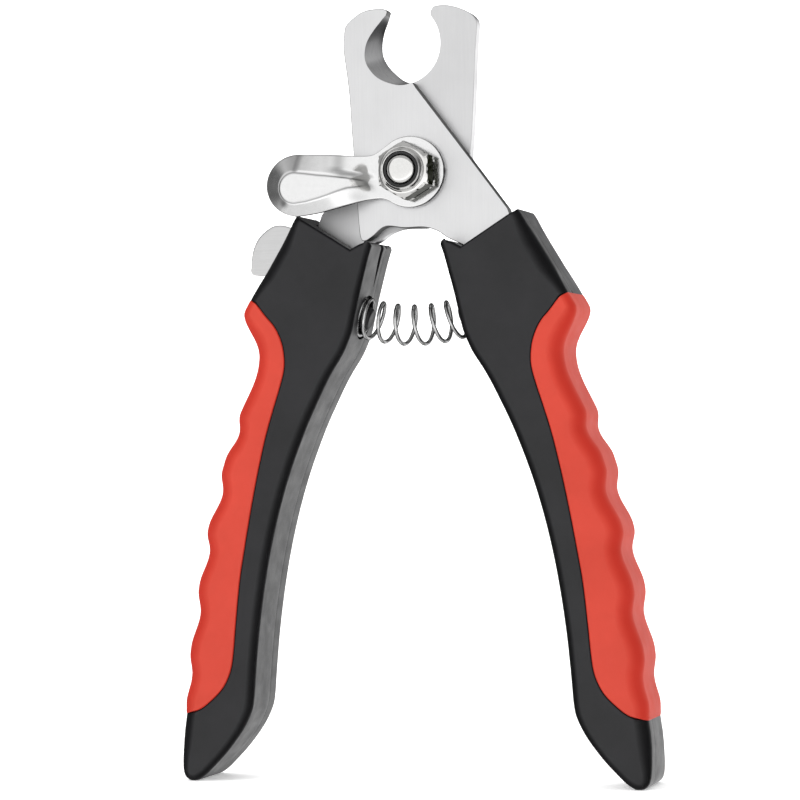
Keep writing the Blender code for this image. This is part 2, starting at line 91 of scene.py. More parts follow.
def spread(points, count):
    """Same polyline with count evenly spaced points."""
    along = lengths(points)
    out, k = [], 0
    for i in range(count):
        t = along[-1] * i / (count - 1)
        while k < len(along) - 2 and along[k + 1] < t:
            k += 1
        f = (t - along[k]) / max(1e-9, along[k + 1] - along[k])
        (xa, za), (xb, zb) = points[k], points[k + 1]
        out.append((xa + (xb - xa) * f, za + (zb - za) * f))
    return out


def resample(points, step):
    """Same polyline with points about one step apart."""
    return spread(points, max(2, round(lengths(points)[-1] / step) + 1))


def interpolate(points, s):
    """Value at s from (s, value) points in rising order, held at both ends."""
    for (a, va), (b, vb) in zip(points, points[1:]):
        if a <= s <= b:
            return va + (vb - va) * ((s - a) / (b - a))
    return points[0][1] if s < points[0][0] else points[-1][1]


def smooth01(t):
    t = min(1.0, max(0.0, t))
    return t * t * (3 - 2 * t)


def bell(distance, width):
    return math.exp(-(distance / width) ** 2)


def turns(count):
    return [2 * math.pi * i / count for i in range(count)]


def circle(centre, u, w, radius, count):
    """Points round centre in the plane of u and w."""
    return [tuple(centre + u * (radius * math.cos(a)) + w * (radius * math.sin(a)))
            for a in turns(count)]


def pivot_circle(y, radius, count):
    return [(radius * math.cos(a), y, radius * math.sin(a)) for a in turns(count)]


def winding(points):
    """1 for an anticlockwise outline, -1 for a clockwise one."""
    n = len(points)
    area = sum(points[i][0] * points[(i + 1) % n][1] - points[(i + 1) % n][0] * points[i][1]
               for i in range(n))
    return 1.0 if area > 0 else -1.0


def edge_frame(a, b, sign):
    """Inward normal and direction of the outline's edge from a to b."""
    d = Vector((b[0] - a[0], b[1] - a[1])).normalized()
    return Vector((-d.y, d.x)) * sign, d


def simple_inset(outline, distance):
    n, sign = len(outline), winding(outline)
    out = []
    for i in range(n):
        point = outline[i]
        n1, _ = edge_frame(outline[i - 1], point, sign)
        n2, _ = edge_frame(point, outline[(i + 1) % n], sign)
        m = n1 + n2
        m = m.normalized() if m.length > 1e-6 else n1
        k = distance / max(0.5, m.dot(n1))
        out.append((point[0] + m.x * k, point[1] + m.y * k))
    return out


CORNER_REACH = 4.0         # length over which a corner's sideways move fades out


def rounded_outline(paths, side):
    """Closed outline of (points, edge radius) paths that meet at corners; a radius may be a
    function of the share of the path. Returns ring(angle), which gives points as (x, z, drop) at
    that angle round the edge, 0 at the wall and 90 degrees at the face. The drop is how far the
    point is below the face plane."""
    def radius_at(k, t):
        radius = paths[k][1]
        return radius(t) if callable(radius) else radius

    points, radii, path_of, corners = [], [], [], []
    for k, (path, _) in enumerate(paths):
        corners.append(len(points))
        for i, point in enumerate(path[:-1]):
            points.append(point)
            radii.append(radius_at(k, i / (len(path) - 1)))
            path_of.append(k)
    n, sign = len(points), winding(points)

    frames, normals, tangents = [], [], []
    for i in range(n):
        n1, t1 = edge_frame(points[i - 1], points[i], sign)
        n2, t2 = edge_frame(points[i], points[(i + 1) % n], sign)
        m = (n1 + n2).normalized()
        frames.append((n1, t1, n2, t2))
        normals.append(m / max(0.6, m.dot(n1)))
        tangents.append((t1 + t2).normalized())
    along = lengths(points + points[:1])
    ends = corners[1:] + [n]
    r_end = [radius_at(k, 1.0) for k in range(len(paths))]
    r_start = [radius_at(k, 0.0) for k in range(len(paths))]
    r_corner = [max(r_end[k - 1], r_start[k]) for k in range(len(paths))]

    def corner_moves(c):
        """Each corner's move, and its shares along the paths before and after it."""
        moves = []
        for k, i in enumerate(corners):
            n1, t1, n2, t2 = frames[i]
            d1, d2 = r_end[k - 1] * c, r_start[k] * c
            det = n1.x * n2.y - n1.y * n2.x
            if abs(det) > 0.3:
                m = Vector(((d1 * n2.y - d2 * n1.y) / det, (n1.x * d2 - n2.x * d1) / det))
            else:
                m = (n1 + n2).normalized() * (0.5 * (d1 + d2))
            moves.append((m, m.dot(t1), m.dot(t2)))
        return moves

    def ring(angle):
        c = 1 - math.cos(angle)
        moves = corner_moves(c)
        out = []
        for i in range(n):
            k = path_of[i]
            following = (k + 1) % len(paths)
            from_start = along[i] - along[corners[k]]
            to_end = along[ends[k]] - along[i]
            if i == corners[k]:
                m = moves[k][0]
                depth = r_corner[k]
            else:
                m = normals[i] * (radii[i] * c)
                for share, gap in ((moves[k][2], from_start), (moves[following][1], to_end)):
                    m = m + tangents[i] * (share * max(0.0, 1 - gap / CORNER_REACH) ** 1.5)
                depth = radii[i]
                # the depth eases to that of the deeper edge at the corner
                for corner, gap in ((r_corner[k], from_start), (r_corner[following], to_end)):
                    if corner > depth:
                        depth = depth + (corner - depth) * (1 - smooth01(gap / (1.2 * corner)))
            out.append((side * (points[i][0] + m.x), points[i][1] + m.y,
                        depth * (1 - math.sin(angle))))
        return out
    return ring


# ============================================================ meshes
def new_object(name, bm, mats, location=PIVOT):
    bmesh.ops.recalc_face_normals(bm, faces=bm.faces)
    me = bpy.data.meshes.new(name)
    bm.to_mesh(me)
    bm.free()
    me.shade_smooth()
    for mat in mats:
        me.materials.append(mat)
    piece = bpy.data.objects.new(name, me)
    bpy.context.scene.collection.objects.link(piece)
    piece.location = location
    return piece


def weight_normals(piece, weight):
    modifier = piece.modifiers.new("weighted", "WEIGHTED_NORMAL")
    modifier.keep_sharp = True
    modifier.weight = weight


def make_object(name, bm, mats, smooth_deg=40, weighted=True):
    bmesh.ops.remove_doubles(bm, verts=bm.verts, dist=2e-6)
    piece = new_object(name, bm, mats)
    piece.data.set_sharp_from_angle(angle=math.radians(smooth_deg))
    if weighted:
        weight_normals(piece, 100)
    return piece


def skin(bm, rings, wall_mat=None, rims=None):
    """Closed skin over rings of (x, y, z) in mm, all the same length. wall_mat gives the material
    index of each place round the ring; rims gives the "edge" attribute of each ring."""
    if rims:
        layer = bm.verts.layers.float.new("edge")
    rows = []
    for k, ring in enumerate(rings):
        row = [bm.verts.new(Vector(p) * MM) for p in ring]
        if rims:
            for vert in row:
                vert[layer] = rims[k]
        rows.append(row)
    n = len(rings[0])
    for a, b in zip(rows, rows[1:]):
        for i in range(n):
            j = (i + 1) % n
            face = bm.faces.new((a[i], a[j], b[j], b[i]))
            if wall_mat:
                face.material_index = wall_mat(i)
    bm.faces.new(rows[0])
    bm.faces.new(rows[-1])


def skin_tool(name, rings):
    bm = bmesh.new()
    skin(bm, rings)
    return make_object(name, bm, [], weighted=False)


def cylinder_tool(name, start, axis, radius, length, end_radius):
    a = Vector(axis).normalized()
    u = a.orthogonal().normalized()
    w = a.cross(u)
    return skin_tool(name, [circle(Vector(start) + a * s, u, w, r, 64)
                            for s, r in ((0.0, radius), (length, end_radius))])


def bore_tool(start_y, length, radius):
    return cylinder_tool("tool_bore", (0, start_y, 0), (0, 1, 0), radius, length, radius)


def sharpen(piece, degrees):
    """Marks every edge that turns by more than this as a hard edge."""
    me = piece.data
    if "custom_normal" in me.attributes:
        me.attributes.remove(me.attributes["custom_normal"])
    bm = bmesh.new()
    bm.from_mesh(me)
    limit = math.radians(degrees)
    for edge in bm.edges:
        edge.smooth = len(edge.link_faces) == 2 and edge.calc_face_angle(0.0) <= limit
    for face in bm.faces:
        face.smooth = True
    bm.to_mesh(me)
    bm.free()
    me.update()


def cut(piece, tools, sharp_deg, weight=None):
    """Takes the tools away from the piece, bakes the result and shades it again."""
    for tool in tools:
        modifier = piece.modifiers.new("cut", "BOOLEAN")
        modifier.operation = "DIFFERENCE"
        modifier.object = tool
        modifier.solver = "EXACT"
    bpy.context.view_layer.update()
    graph = bpy.context.evaluated_depsgraph_get()
    me = bpy.data.meshes.new_from_object(piece.evaluated_get(graph), depsgraph=graph)
    piece.modifiers.clear()
    piece.data = me
    for tool in tools:
        bpy.data.objects.remove(tool)
    sharpen(piece, sharp_deg)
    if weight:
        weight_normals(piece, weight)


def register(piece, body, replaced):
    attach(piece, body)
    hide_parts(replaced)


# ============================================================ shader nodes
class Graph:
    """Short calls that add nodes to one tree. Each returns an output socket."""

    def __init__(self, tree):
        self.tree = tree

    def fill(self, node, inputs):
        """Links sockets and sets plain values."""
        for key, value in inputs.items():
            if isinstance(value, bpy.types.NodeSocket):
                self.tree.links.new(value, node.inputs[key])
            else:
                node.inputs[key].default_value = value

    def add(self, kind, output, inputs=None, **settings):
        node = self.tree.nodes.new(kind)
        for key, value in settings.items():
            setattr(node, key, value)
        self.fill(node, inputs or {})
        return node.outputs[output]

    def coords(self, scale=(1, 1, 1), rotation=(0, 0, 0)):
        return self.add("ShaderNodeMapping", "Vector", {
            "Vector": self.add("ShaderNodeTexCoord", "Object"),
            "Scale": scale, "Rotation": rotation})

    def noise(self, place, scale, detail, rough):
        return self.add("ShaderNodeTexNoise", "Fac", {
            "Vector": place, "Scale": scale, "Detail": detail, "Roughness": rough})

    def ramp(self, fac, low, high, stops):
        colour = self.add("ShaderNodeValToRGB", "Color", {"Fac": fac})
        elements = colour.node.color_ramp.elements
        for element, position, tone in zip(elements, stops, (low, high)):
            element.position = position
            element.color = (*tone, 1.0)
        return colour

    def remap(self, value, source, target, interpolation="LINEAR"):
        return self.add("ShaderNodeMapRange", "Result", {
            "Value": value, "From Min": source[0], "From Max": source[1],
            "To Min": target[0], "To Max": target[1]}, interpolation_type=interpolation)

    def math(self, operation, *values):
        return self.add("ShaderNodeMath", 0, dict(enumerate(values)), operation=operation)

    def mix(self, share, base, colour):
        """Colour mixed over the base."""
        return self.add("ShaderNodeMix", 2, {0: share, 6: base, 7: (*colour, 1.0)},
                        data_type="RGBA")

    def bump(self, height, strength, distance, under=None):
        inputs = {"Strength": strength, "Distance": distance, "Height": height}
        if under is not None:
            inputs["Normal"] = under
        return self.add("ShaderNodeBump", "Normal", inputs)

    def attribute(self, name):
        return self.add("ShaderNodeAttribute", "Fac", attribute_name=name)

    def axis(self, place, name):
        return self.add("ShaderNodeSeparateXYZ", name, {0: place})


def new_material(name):
    mat = bpy.data.materials.new(name)
    mat.use_nodes = True
    return mat, Graph(mat.node_tree), mat.node_tree.nodes["Principled BSDF"]


def plastic(name, low, high, rough, grain_scale, grain, specular=0.5, edge_light=0.0,
            rim_shade=0.0, rim_shade_colour=None, rim_shade_matt=None):
    """Fine-grained moulding. edge_light is wear on the rims. The rims also get painted shade: they
    go towards a dark shade colour by one share and lose another share of their specular."""
    mat, g, shader = new_material(name)
    place = g.coords()
    base = g.ramp(g.noise(place, scale=90, detail=4, rough=0.6), low, high, stops=(0.3, 0.7))
    if edge_light:
        patches = g.remap(g.noise(place, scale=420, detail=4, rough=0.65),
                          source=(0.5, 0.72), target=(0.0, 1.0))
        worn = g.math("MULTIPLY", g.attribute("edge"), patches)
        pale = tuple(min(1, c * 2.2 + 0.01) for c in high)
        base = g.mix(g.math("MULTIPLY", worn, edge_light), base, pale)
    roughness = g.remap(g.noise(place, scale=260, detail=5, rough=0.6),
                        source=(0.3, 0.7), target=rough)
    g.fill(shader, {"Roughness": roughness, "Specular IOR Level": specular})
    if rim_shade:
        # painted shade: the rims are taken towards a deeper tone and reflect less than the grained
        # faces, standing in for the dark reflections along the rounded edges
        share = g.math("MULTIPLY", g.attribute("edge"), rim_shade)
        base = g.mix(share, base, rim_shade_colour or tuple(c * 0.25 for c in low))
        if rim_shade_matt:
            share = g.math("MULTIPLY", g.attribute("edge"), rim_shade_matt)
        kept = g.math("MULTIPLY", g.math("SUBTRACT", 1.0, share), specular)
        g.fill(shader, {"Specular IOR Level": kept})
    fine = g.bump(g.noise(place, scale=grain_scale, detail=2, rough=0.6),
                  strength=grain, distance=0.00003)
    normal = g.bump(g.noise(place, scale=150, detail=2, rough=0.5),
                    strength=0.10, distance=0.0003, under=fine)
    g.fill(shader, {"Base Color": base, "Normal": normal})
    return mat


def metal(name, low, high, rough, brush, brush_scale, brush_strength, scratches=0.0, smudge=0.0,
          crease_shade=0.0, tip=None, rim_tint=1.0):
    """Brushed metal. brush stretches the streaks along its smallest axis; tip darkens the metal
    upwards as painted shade, given as (from height in m, to height, share); rim_tint is the grazing
    reflection."""
    mat, g, shader = new_material(name)
    place = g.coords()
    streak = g.noise(g.coords(brush), scale=brush_scale, detail=4, rough=0.7)
    base = g.ramp(streak, low, high, stops=(0.25, 0.75))
    if smudge:
        patches = g.remap(g.noise(place, scale=110, detail=5, rough=0.6),
                          source=(0.45, 0.75), target=(0.0, smudge))
        base = g.mix(patches, base, tuple(c * 0.72 for c in low))
    if tip:
        # painted shade: the metal darkens towards the top
        height = g.remap(g.axis(place, "Z"), source=tip[:2], target=(0.0, tip[2]))
        base = g.mix(height, base, (0.10, 0.10, 0.103))
    if crease_shade:
        # painted shade in the pressed creases and over marks on the lever's rim
        share = g.math("MULTIPLY", g.attribute("crease_shade"), crease_shade)
        base = g.mix(share, base, (0.035, 0.035, 0.037))
    roughness = g.remap(streak, source=(0.3, 0.7), target=rough)
    uneven = g.remap(g.noise(place, scale=140, detail=5, rough=0.6),
                     source=(0.35, 0.7), target=(-0.03, 0.05))
    normal = g.bump(streak, strength=brush_strength, distance=0.00001)
    if scratches:
        slanted = g.coords(scale=(1.0, 1.0, 0.06), rotation=(0.0, 0.9, 0.2))
        lines = g.remap(g.noise(slanted, scale=2600, detail=2, rough=0.5),
                        source=(0.66, 0.72), target=(0.0, 1.0))
        normal = g.bump(lines, strength=scratches, distance=0.000012, under=normal)
    g.fill(shader, {"Base Color": base, "Metallic": 1.0,
                    "Specular Tint": (rim_tint, rim_tint, rim_tint, 1.0),
                    "Roughness": g.math("ADD", roughness, uneven), "Normal": normal})
    return mat


# ============================================================ materials
UPRIGHT = (1.0, 1.0, 0.035)        # streaks along z

# both mouldings carry painted shade along their rounded rims
M_BLACK = plastic("black_plastic", low=(0.0090, 0.0090, 0.0100), high=(0.0132, 0.0130, 0.0148),
                  rough=(0.36, 0.48), grain_scale=5200, grain=0.32, specular=0.36,
                  edge_light=0.20, rim_shade=0.80)
M_RED = plastic("red_rubber", low=(0.492, 0.048, 0.029), high=(0.55, 0.056, 0.035),
                rough=(0.55, 0.68), grain_scale=4200, grain=0.30, specular=0.22,
                rim_shade=0.55, rim_shade_colour=(0.36, 0.012, 0.008), rim_shade_matt=0.85)
M_STEEL = metal("blade_steel", low=(0.725, 0.725, 0.73), high=(0.785, 0.785, 0.79),
                rough=(0.31, 0.41), brush=UPRIGHT, brush_scale=2600, brush_strength=0.12,
                scratches=0.12, smudge=0.10)
# painted shade: a darker copy of the blade steel for the rear blade, which lies behind the front
# one
M_STEEL_REAR_SHADED = metal("blade_steel_rear_shaded", low=(0.665, 0.665, 0.67), high=(0.72, 0.72, 0.725),
                     rough=(0.33, 0.43), brush=UPRIGHT, brush_scale=2400, brush_strength=0.12,
                     scratches=0.12, smudge=0.10)
# painted shade: a dark copy of the steel for the front blade's walls, standing in for their shadow
# and the dark handles they reflect
M_BLADE_WALL_SHADE = metal("blade_wall_painted_shade", low=(0.17, 0.17, 0.17), high=(0.28, 0.28, 0.28),
                    rough=(0.30, 0.46), brush=(1.0, 0.05, 1.0), brush_scale=3800,
                    brush_strength=0.30, rim_tint=0.45)
# painted shade: a darker copy again for the lever's cut edge, standing in for the dark outline
# round the boss and underside
M_LEVER_EDGE_SHADE = metal("lever_edge_painted_shade", low=(0.07, 0.07, 0.07), high=(0.15, 0.15, 0.15),
              rough=(0.30, 0.46), brush=(1.0, 0.05, 1.0), brush_scale=3800,
              brush_strength=0.30, rim_tint=0.25)
# the ground bevel darkens towards the top of the blade as painted shade
M_BEVEL = metal("ground_bevel", low=(0.48, 0.48, 0.485), high=(0.66, 0.66, 0.665),
                rough=(0.26, 0.36), brush=(0.1, 1.0, 0.1), brush_scale=5200,
                brush_strength=0.35, tip=(0.018, 0.028, 0.9))
# painted dark reflections on the nut's right-hand flats: two dark copies of the zinc; the left-hand
# flats get a rougher zinc
M_NUT_FLAT_SHADE = metal("nut_flats", low=(0.06, 0.062, 0.055), high=(0.34, 0.345, 0.32),
                   rough=(0.16, 0.30), brush=(1.0, 0.30, 1.0), brush_scale=900,
                   brush_strength=0.16, smudge=0.30, rim_tint=0.35)
M_NUT_FLAT_DEEP_SHADE = metal("nut_flats_deep", low=(0.05, 0.052, 0.046), high=(0.22, 0.225, 0.205),
                   rough=(0.14, 0.26), brush=(1.0, 0.30, 1.0), brush_scale=900,
                   brush_strength=0.16, smudge=0.30, rim_tint=0.22)
M_NUT_DULL = metal("nut_flats_dull", low=(0.78, 0.775, 0.76), high=(0.86, 0.855, 0.84),
                   rough=(0.55, 0.68), brush=(1.0, 0.12, 1.0), brush_scale=1500,
                   brush_strength=0.10, smudge=0.08)
# painted shade in the lever's creases and over its rim marks
M_BRIGHT = metal("bright_plating", low=(0.80, 0.80, 0.80), high=(0.86, 0.86, 0.86),
                 rough=(0.10, 0.17), brush=(1.0, 1.0, 1.0), brush_scale=900,
                 brush_strength=0.04, scratches=0.06, smudge=0.05, crease_shade=0.85)
M_ZINC = metal("bright_zinc", low=(0.74, 0.735, 0.72), high=(0.84, 0.835, 0.82),
               rough=(0.10, 0.20), brush=(1.0, 0.12, 1.0), brush_scale=1500,
               brush_strength=0.08, smudge=0.10)
M_GUARD = metal("guard_steel", low=(0.59, 0.59, 0.59), high=(0.68, 0.68, 0.68),
                rough=(0.26, 0.38), brush=(0.05, 1.0, 1.0), brush_scale=2400,
                brush_strength=0.16, scratches=0.10, smudge=0.12)
M_WIRE = metal("spring_wire", low=(0.50, 0.50, 0.50), high=(0.66, 0.66, 0.66),
               rough=(0.13, 0.22), brush=(1.0, 1.0, 1.0), brush_scale=2200,
               brush_strength=0.10, smudge=0.15, rim_tint=0.10)
M_NYLON = plastic("black_nylon", low=(0.006, 0.006, 0.006), high=(0.011, 0.011, 0.012),
                  rough=(0.38, 0.5), grain_scale=4200, grain=0.25)


# ============================================================ blade outlines
# (x, z) of the plate, from the tip of the notch down the outer side
BLADE_TIP = {
    "front": [(-4.45, 31.9), (-4.75, 32.25), (-5.6, 32.5), (-8.3, 32.45), (-10.5, 31.7),
              (-12.8, 29.9), (-13.45, 28.5), (-13.65, 24.8), (-12.9, 18.8), (-12.5, 14.8),
              (-12.15, 8.8), (-11.8, 3.8)],
    "rear": [(-3.45, 31.9), (-3.95, 32.7), (-4.6, 33.05), (-6.9, 33.05), (-9.6, 32.3),
             (-11.9, 31.0), (-12.95, 29.5), (-12.85, 27.0), (-12.6, 24.0), (-12.2, 16.0),
             (-11.75, 8.1), (-11.4, 3.8)]}
# (x, z) on below the pivot to the handle
BLADE_LOW = [(-11.15, -6.2), (-10.6, -12.4), (-9.6, -13.3), (-8.0, -12.4), (-5.4, -10.55),
             (-1.6, -10.9), (2.5, -10.9), (5.3, -11.75), (7.4, -13.15), (10.6, -14.65)]
# (x, z) round the tang in the handle, then straight back towards the notch
TANG = [(13.8, -21.5), (17.0, -32.0), (20.3, -42.0), (21.8, -45.6), (24.6, -46.2),
        (27.2, -44.0), (26.0, -36.0), (24.0, -24.0), (21.8, -14.0)]
TANG_TOP = [(19.5, -7.7), (12.0, 2.35)]
# (x, z) of the notch's sharp edge, from its foot to the tip
NOTCH_EDGE = {
    "front": [(0.4, 17.7), (-0.93, 17.95), (-2.14, 18.5), (-3.49, 19.6), (-4.69, 20.8),
              (-5.6, 22.1), (-6.2, 23.5), (-6.36, 25.1), (-6.2, 26.7), (-5.8, 28.3),
              (-5.25, 29.7), (-4.74, 31.1)],
    "rear": [(0.4, 17.95), (-1.22, 18.6), (-2.77, 19.7), (-3.98, 21.0), (-4.86, 22.6),
             (-5.33, 24.2), (-5.45, 26.2), (-5.1, 28.2), (-4.4, 29.8), (-3.6, 31.0)]}
# (dx, dz) from the sharp edge to the bevel's far side, along the notch
BEVEL = [(0.0, 0.0), (-0.1, -0.75), (-0.8, -1.7), (-1.74, -2.1), (-2.45, -1.86), (-2.93, -1.32),
         (-2.91, -0.67), (-2.45, -0.1), (-1.4, 0.1), (-0.5, 0.2), (-0.1, 0.1)]
NOTCH_COUNT = 60
BLADE_FACE = 2.8           # outer face of a plate, from the shear plane


def blade_outline(which):
    """Outline without the notch, the notch's sharp edge, and the bevel's far side."""
    notch = NOTCH_EDGE[which]
    outer = resample(curve(BLADE_TIP[which] + BLADE_LOW, 0.3), 0.6)
    tang = resample(curve([BLADE_LOW[-1]] + TANG, 1.0), 1.5)[1:]
    tang_top = resample(TANG_TOP + [notch[0]], 1.2)[:-1]
    edge = spread(resample(curve(notch, 0.2), 0.3), NOTCH_COUNT)
    bevel = spread(curve(BEVEL, 0.1), NOTCH_COUNT)
    face = [(x + dx, z + dz) for (x, z), (dx, dz) in zip(edge, bevel)]
    return outer + tang + tang_top, edge, face


# ============================================================ spring axis
# The spring's axis is an arc in the xz plane, its centre above the pivot.
SPRING_Z, SPRING_R = 3.65, 33.7
COIL_R, WIRE_R = 3.78, 0.40
POST_ANGLE = 18.6          # degrees from the middle of the spring to the handle walls


def on_arc(degrees):
    a = math.radians(degrees)
    return Vector((SPRING_R * math.sin(a), 0.0, SPRING_Z - SPRING_R * math.cos(a)))


def wall_frame(side):
    """Where the axis meets a handle's wall, and its direction from there into the spring."""
    a = math.radians(side * POST_ANGLE)
    return on_arc(side * POST_ANGLE), Vector((math.cos(a), 0.0, math.sin(a))) * -side


# ============================================================ handles
HALF_THICKNESS = 8.0       # face of a handle, from the shear plane
PART_Y = 2.95              # parting line: in front (-y) on the right handle, behind on the left
GRIP_PROUD = 0.05          # the grip stands this far above the shell
STEP = 0.8                 # spacing of points on the shell's outline
GRIP_STEP = 0.6            # and on the grip's outer edge
GRIP_SAMPLES = 500         # heights at which the grip's outer edge is worked out

# (z, depth, reach up, reach down) of the finger scallops in the grip
SCALLOPS = [(-36.2, 3.35, 9.6, 13.0), (-51.3, 1.2, 4.5, 4.8), (-63.3, 1.4, 5.0, 6.4),
            (-74.8, 1.25, 4.5, 6.5), (-87.0, 1.1, 5.0, 6.8), (-99.2, 0.8, 4.5, 6.0)]
# (x, z) of the grip's outer envelope through the tops of the scallops
ENVELOPE = [(32.6, -25.0), (33.3, -26.4), (33.75, -28.2), (34.1, -36.0), (34.85, -46.0),
            (38.85, -58.5), (42.1, -70.8), (44.1, -82.4), (45.95, -95.0), (47.1, -107.0)]
# (x, z) of the inner edge, from the horn beside the pivot down to the foot
INNER = [(7.0, -14.7), (7.75, -17.0), (8.55, -20.0), (9.6, -24.0), (10.5, -28.0), (11.3, -31.4),
         (12.35, -34.0), (13.35, -36.0), (15.9, -40.0), (18.5, -45.0), (21.3, -51.0),
         (24.4, -59.0), (26.85, -67.0), (28.75, -75.0), (30.1, -82.5), (31.15, -90.0),
         (31.85, -97.0), (32.35, -103.2)]
# (x, z) round the foot and up the outer side, straight over the last part
FOOT = [(32.35, -103.2), (32.9, -106.2), (34.8, -110.0), (37.8, -114.0), (40.4, -116.8),
        (42.7, -119.0), (44.6, -120.1), (46.3, -119.9), (47.3, -118.6), (47.6, -116.0),
        (47.55, -112.0)]
FOOT_SIDE = (47.4, -110.0)
# (x, z) from the grip's upper shoulder to the top corner
OUTER_TOP = [(32.3, -24.6), (30.25, -21.0), (29.05, -19.0), (26.65, -15.0), (24.2, -11.0),
             (23.25, -9.3), (22.5, -8.2)]
# (x, z) round the horn
HORN = [(11.3, -15.2), (9.6, -14.3), (8.2, -13.85), (7.3, -13.9), (7.0, -14.7)]
TOP = [OUTER_TOP[-1], HORN[0]]
SHOULDER_HIGH, SHOULDER_LOW = OUTER_TOP[0], (46.95, -106.9)
# (x, z) of the line where the red grip meets the black shell, between the shoulders
SEAM = [(30.9, -25.4), (28.8, -28.0), (27.0, -30.1), (25.7, -32.8), (25.1, -35.5), (25.1, -38.5),
        (26.0, -42.0), (27.3, -46.0), (28.85, -51.0), (30.0, -55.5), (31.2, -60.8),
        (32.45, -67.0), (33.65, -73.5), (34.8, -80.3), (35.65, -88.0), (36.35, -95.2),
        (37.0, -98.4), (38.5, -101.5), (40.9, -104.0), (43.5, -105.9)]

# edge radii along the paths; t is the share of the path
R_SEAM, R_TOP, R_HORN, R_PARTING = 0.28, 0.45, 0.6, 0.05


def r_inner(t):
    return 1.15 + 0.5 * smooth01(t * 2.2)


def r_foot(t):
    """From the inner edge round the foot and up the outer side."""
    return 1.65 - 0.25 * smooth01(t / 0.4) + 1.3 * smooth01((t - 0.62) / 0.3)


def r_outer_top(t):
    """From the shoulder up to the top corner."""
    return 1.7 + 1.2 * smooth01(t / 0.4) - 1.2 * smooth01((t - 0.6) / 0.4)


def r_grip(t):
    return 1.7 + 1.4 * smooth01(t / 0.12) - 0.4 * smooth01((t - 0.9) / 0.1)


# angles round the rounded edge, from the wall to the face
ARC = [math.radians(a) for a in (0, 12, 25, 39, 53, 66, 78, 90)]

ENVELOPE_X = [(z, x) for x, z in reversed(curve(ENVELOPE, 0.5))]


def rim_weight(angle):
    return math.sin(2 * angle) if angle < math.pi / 2 else 0.0


def outer_x(z):
    x = interpolate(ENVELOPE_X, z)
    for centre, depth, up, down in SCALLOPS:
        reach = up if z > centre else down
        if abs(z - centre) < reach:
            x -= depth * math.cos(0.5 * math.pi * (z - centre) / reach) ** 2
    # a little fuller between the shoulders, the large edge radius takes it back
    below_high = smooth01((SHOULDER_HIGH[1] - z) / 4.0)
    return x + 0.3 * below_high * smooth01((z - SHOULDER_LOW[1]) / 4.0)


def seam_path():
    """From the lower shoulder to the upper one."""
    return resample(curve([SHOULDER_HIGH] + SEAM + [SHOULDER_LOW], 0.5), STEP)[::-1]


def grip_edge():
    first, last = SHOULDER_HIGH[1] - 0.4, SHOULDER_LOW[1]
    heights = [first + (last - first) * i / GRIP_SAMPLES for i in range(GRIP_SAMPLES)]
    raw = [(outer_x(z), z) for z in heights]
    return resample([SHOULDER_HIGH] + raw + [SHOULDER_LOW], GRIP_STEP)


def shell_paths():
    return [
        (resample(curve(OUTER_TOP, 0.5), STEP), r_outer_top),
        (resample(TOP, STEP), R_TOP),
        (resample(curve(HORN, 0.3), 0.4), R_HORN),
        (resample(curve(INNER, 0.5), STEP), r_inner),
        (resample(curve(FOOT, 0.4) + [FOOT_SIDE, SHOULDER_LOW], STEP * 0.8), r_foot),
        (seam_path(), R_SEAM),
    ]


def build_shell(name, side, ysign):
    paths = shell_paths()
    ring = rounded_outline(paths, side)
    parting = rounded_outline([(path, R_PARTING) for path, _ in paths], side)
    wall = ring(0.0)
    # a small chamfer all round the joint face: (outline, distance from the parting line)
    rings = [[(x, -side * PART_Y + ysign * gap, z) for x, z, _ in outline]
             for outline, gap in ((parting(math.radians(90)), 0.012), (wall, 0.06), (wall, 1.2))]
    rims = [0.0] * len(rings)
    for angle in ARC:
        rings.append([(x, ysign * (HALF_THICKNESS - drop), z) for x, z, drop in ring(angle)])
        rims.append(rim_weight(angle))
    bm = bmesh.new()
    skin(bm, rings, rims=rims)
    return make_object(name, bm, [M_BLACK], 50)


def build_grip(name, side):
    ring = rounded_outline([(grip_edge(), r_grip), (seam_path(), R_SEAM)], side)
    rings, rims = [], []
    for ysign, angles in ((-1, ARC[::-1]), (1, ARC)):
        for angle in angles:
            rings.append([(x, ysign * (HALF_THICKNESS + GRIP_PROUD - drop), z)
                          for x, z, drop in ring(angle)])
            rims.append(rim_weight(angle))
    bm = bmesh.new()
    skin(bm, rings, rims=rims)
    return make_object(name, bm, [M_RED], 50)


def seat_tool(side):
    """Round seat for the end of the spring in the inner wall."""
    wall, axis = wall_frame(side)
    return cylinder_tool("tool_seat", wall - axis * 0.9, axis,
                         radius=4.45, length=8.0, end_radius=4.7)


def tang_tool(which, side, ysign, clearance=0.10):
    """Recess with a blade's outline."""
    body, edge, _ = blade_outline(which)
    outline = simple_inset(body + edge, -clearance)
    return skin_tool("tool_tang_" + which, [[(side * x, ysign * y, z) for x, z in outline]
                                            for y in (-0.6, BLADE_FACE + clearance)])


# (z, x of the wall, middle y, half width) of the slot, from its top down
SLOT = [(-11.5, 6.0, 0.3, 0.95), (-14.8, 7.03, 0.4, 0.90),
        (-18.0, 8.02, 0.8, 0.75), (-22.2, 9.12, 1.1, 0.12)]


def slot_tool(side):
    """Tapering slot at the top of the inner wall."""
    rings = []
    for z, x, y, half in SLOT:
        corners = ((-1.5, -half), (0.9, -half), (0.9, half), (-1.5, half))
        rings.append([(side * (x + dx), -side * (y + dy), z) for dx, dy in corners])
    return skin_tool("tool_slot", rings)


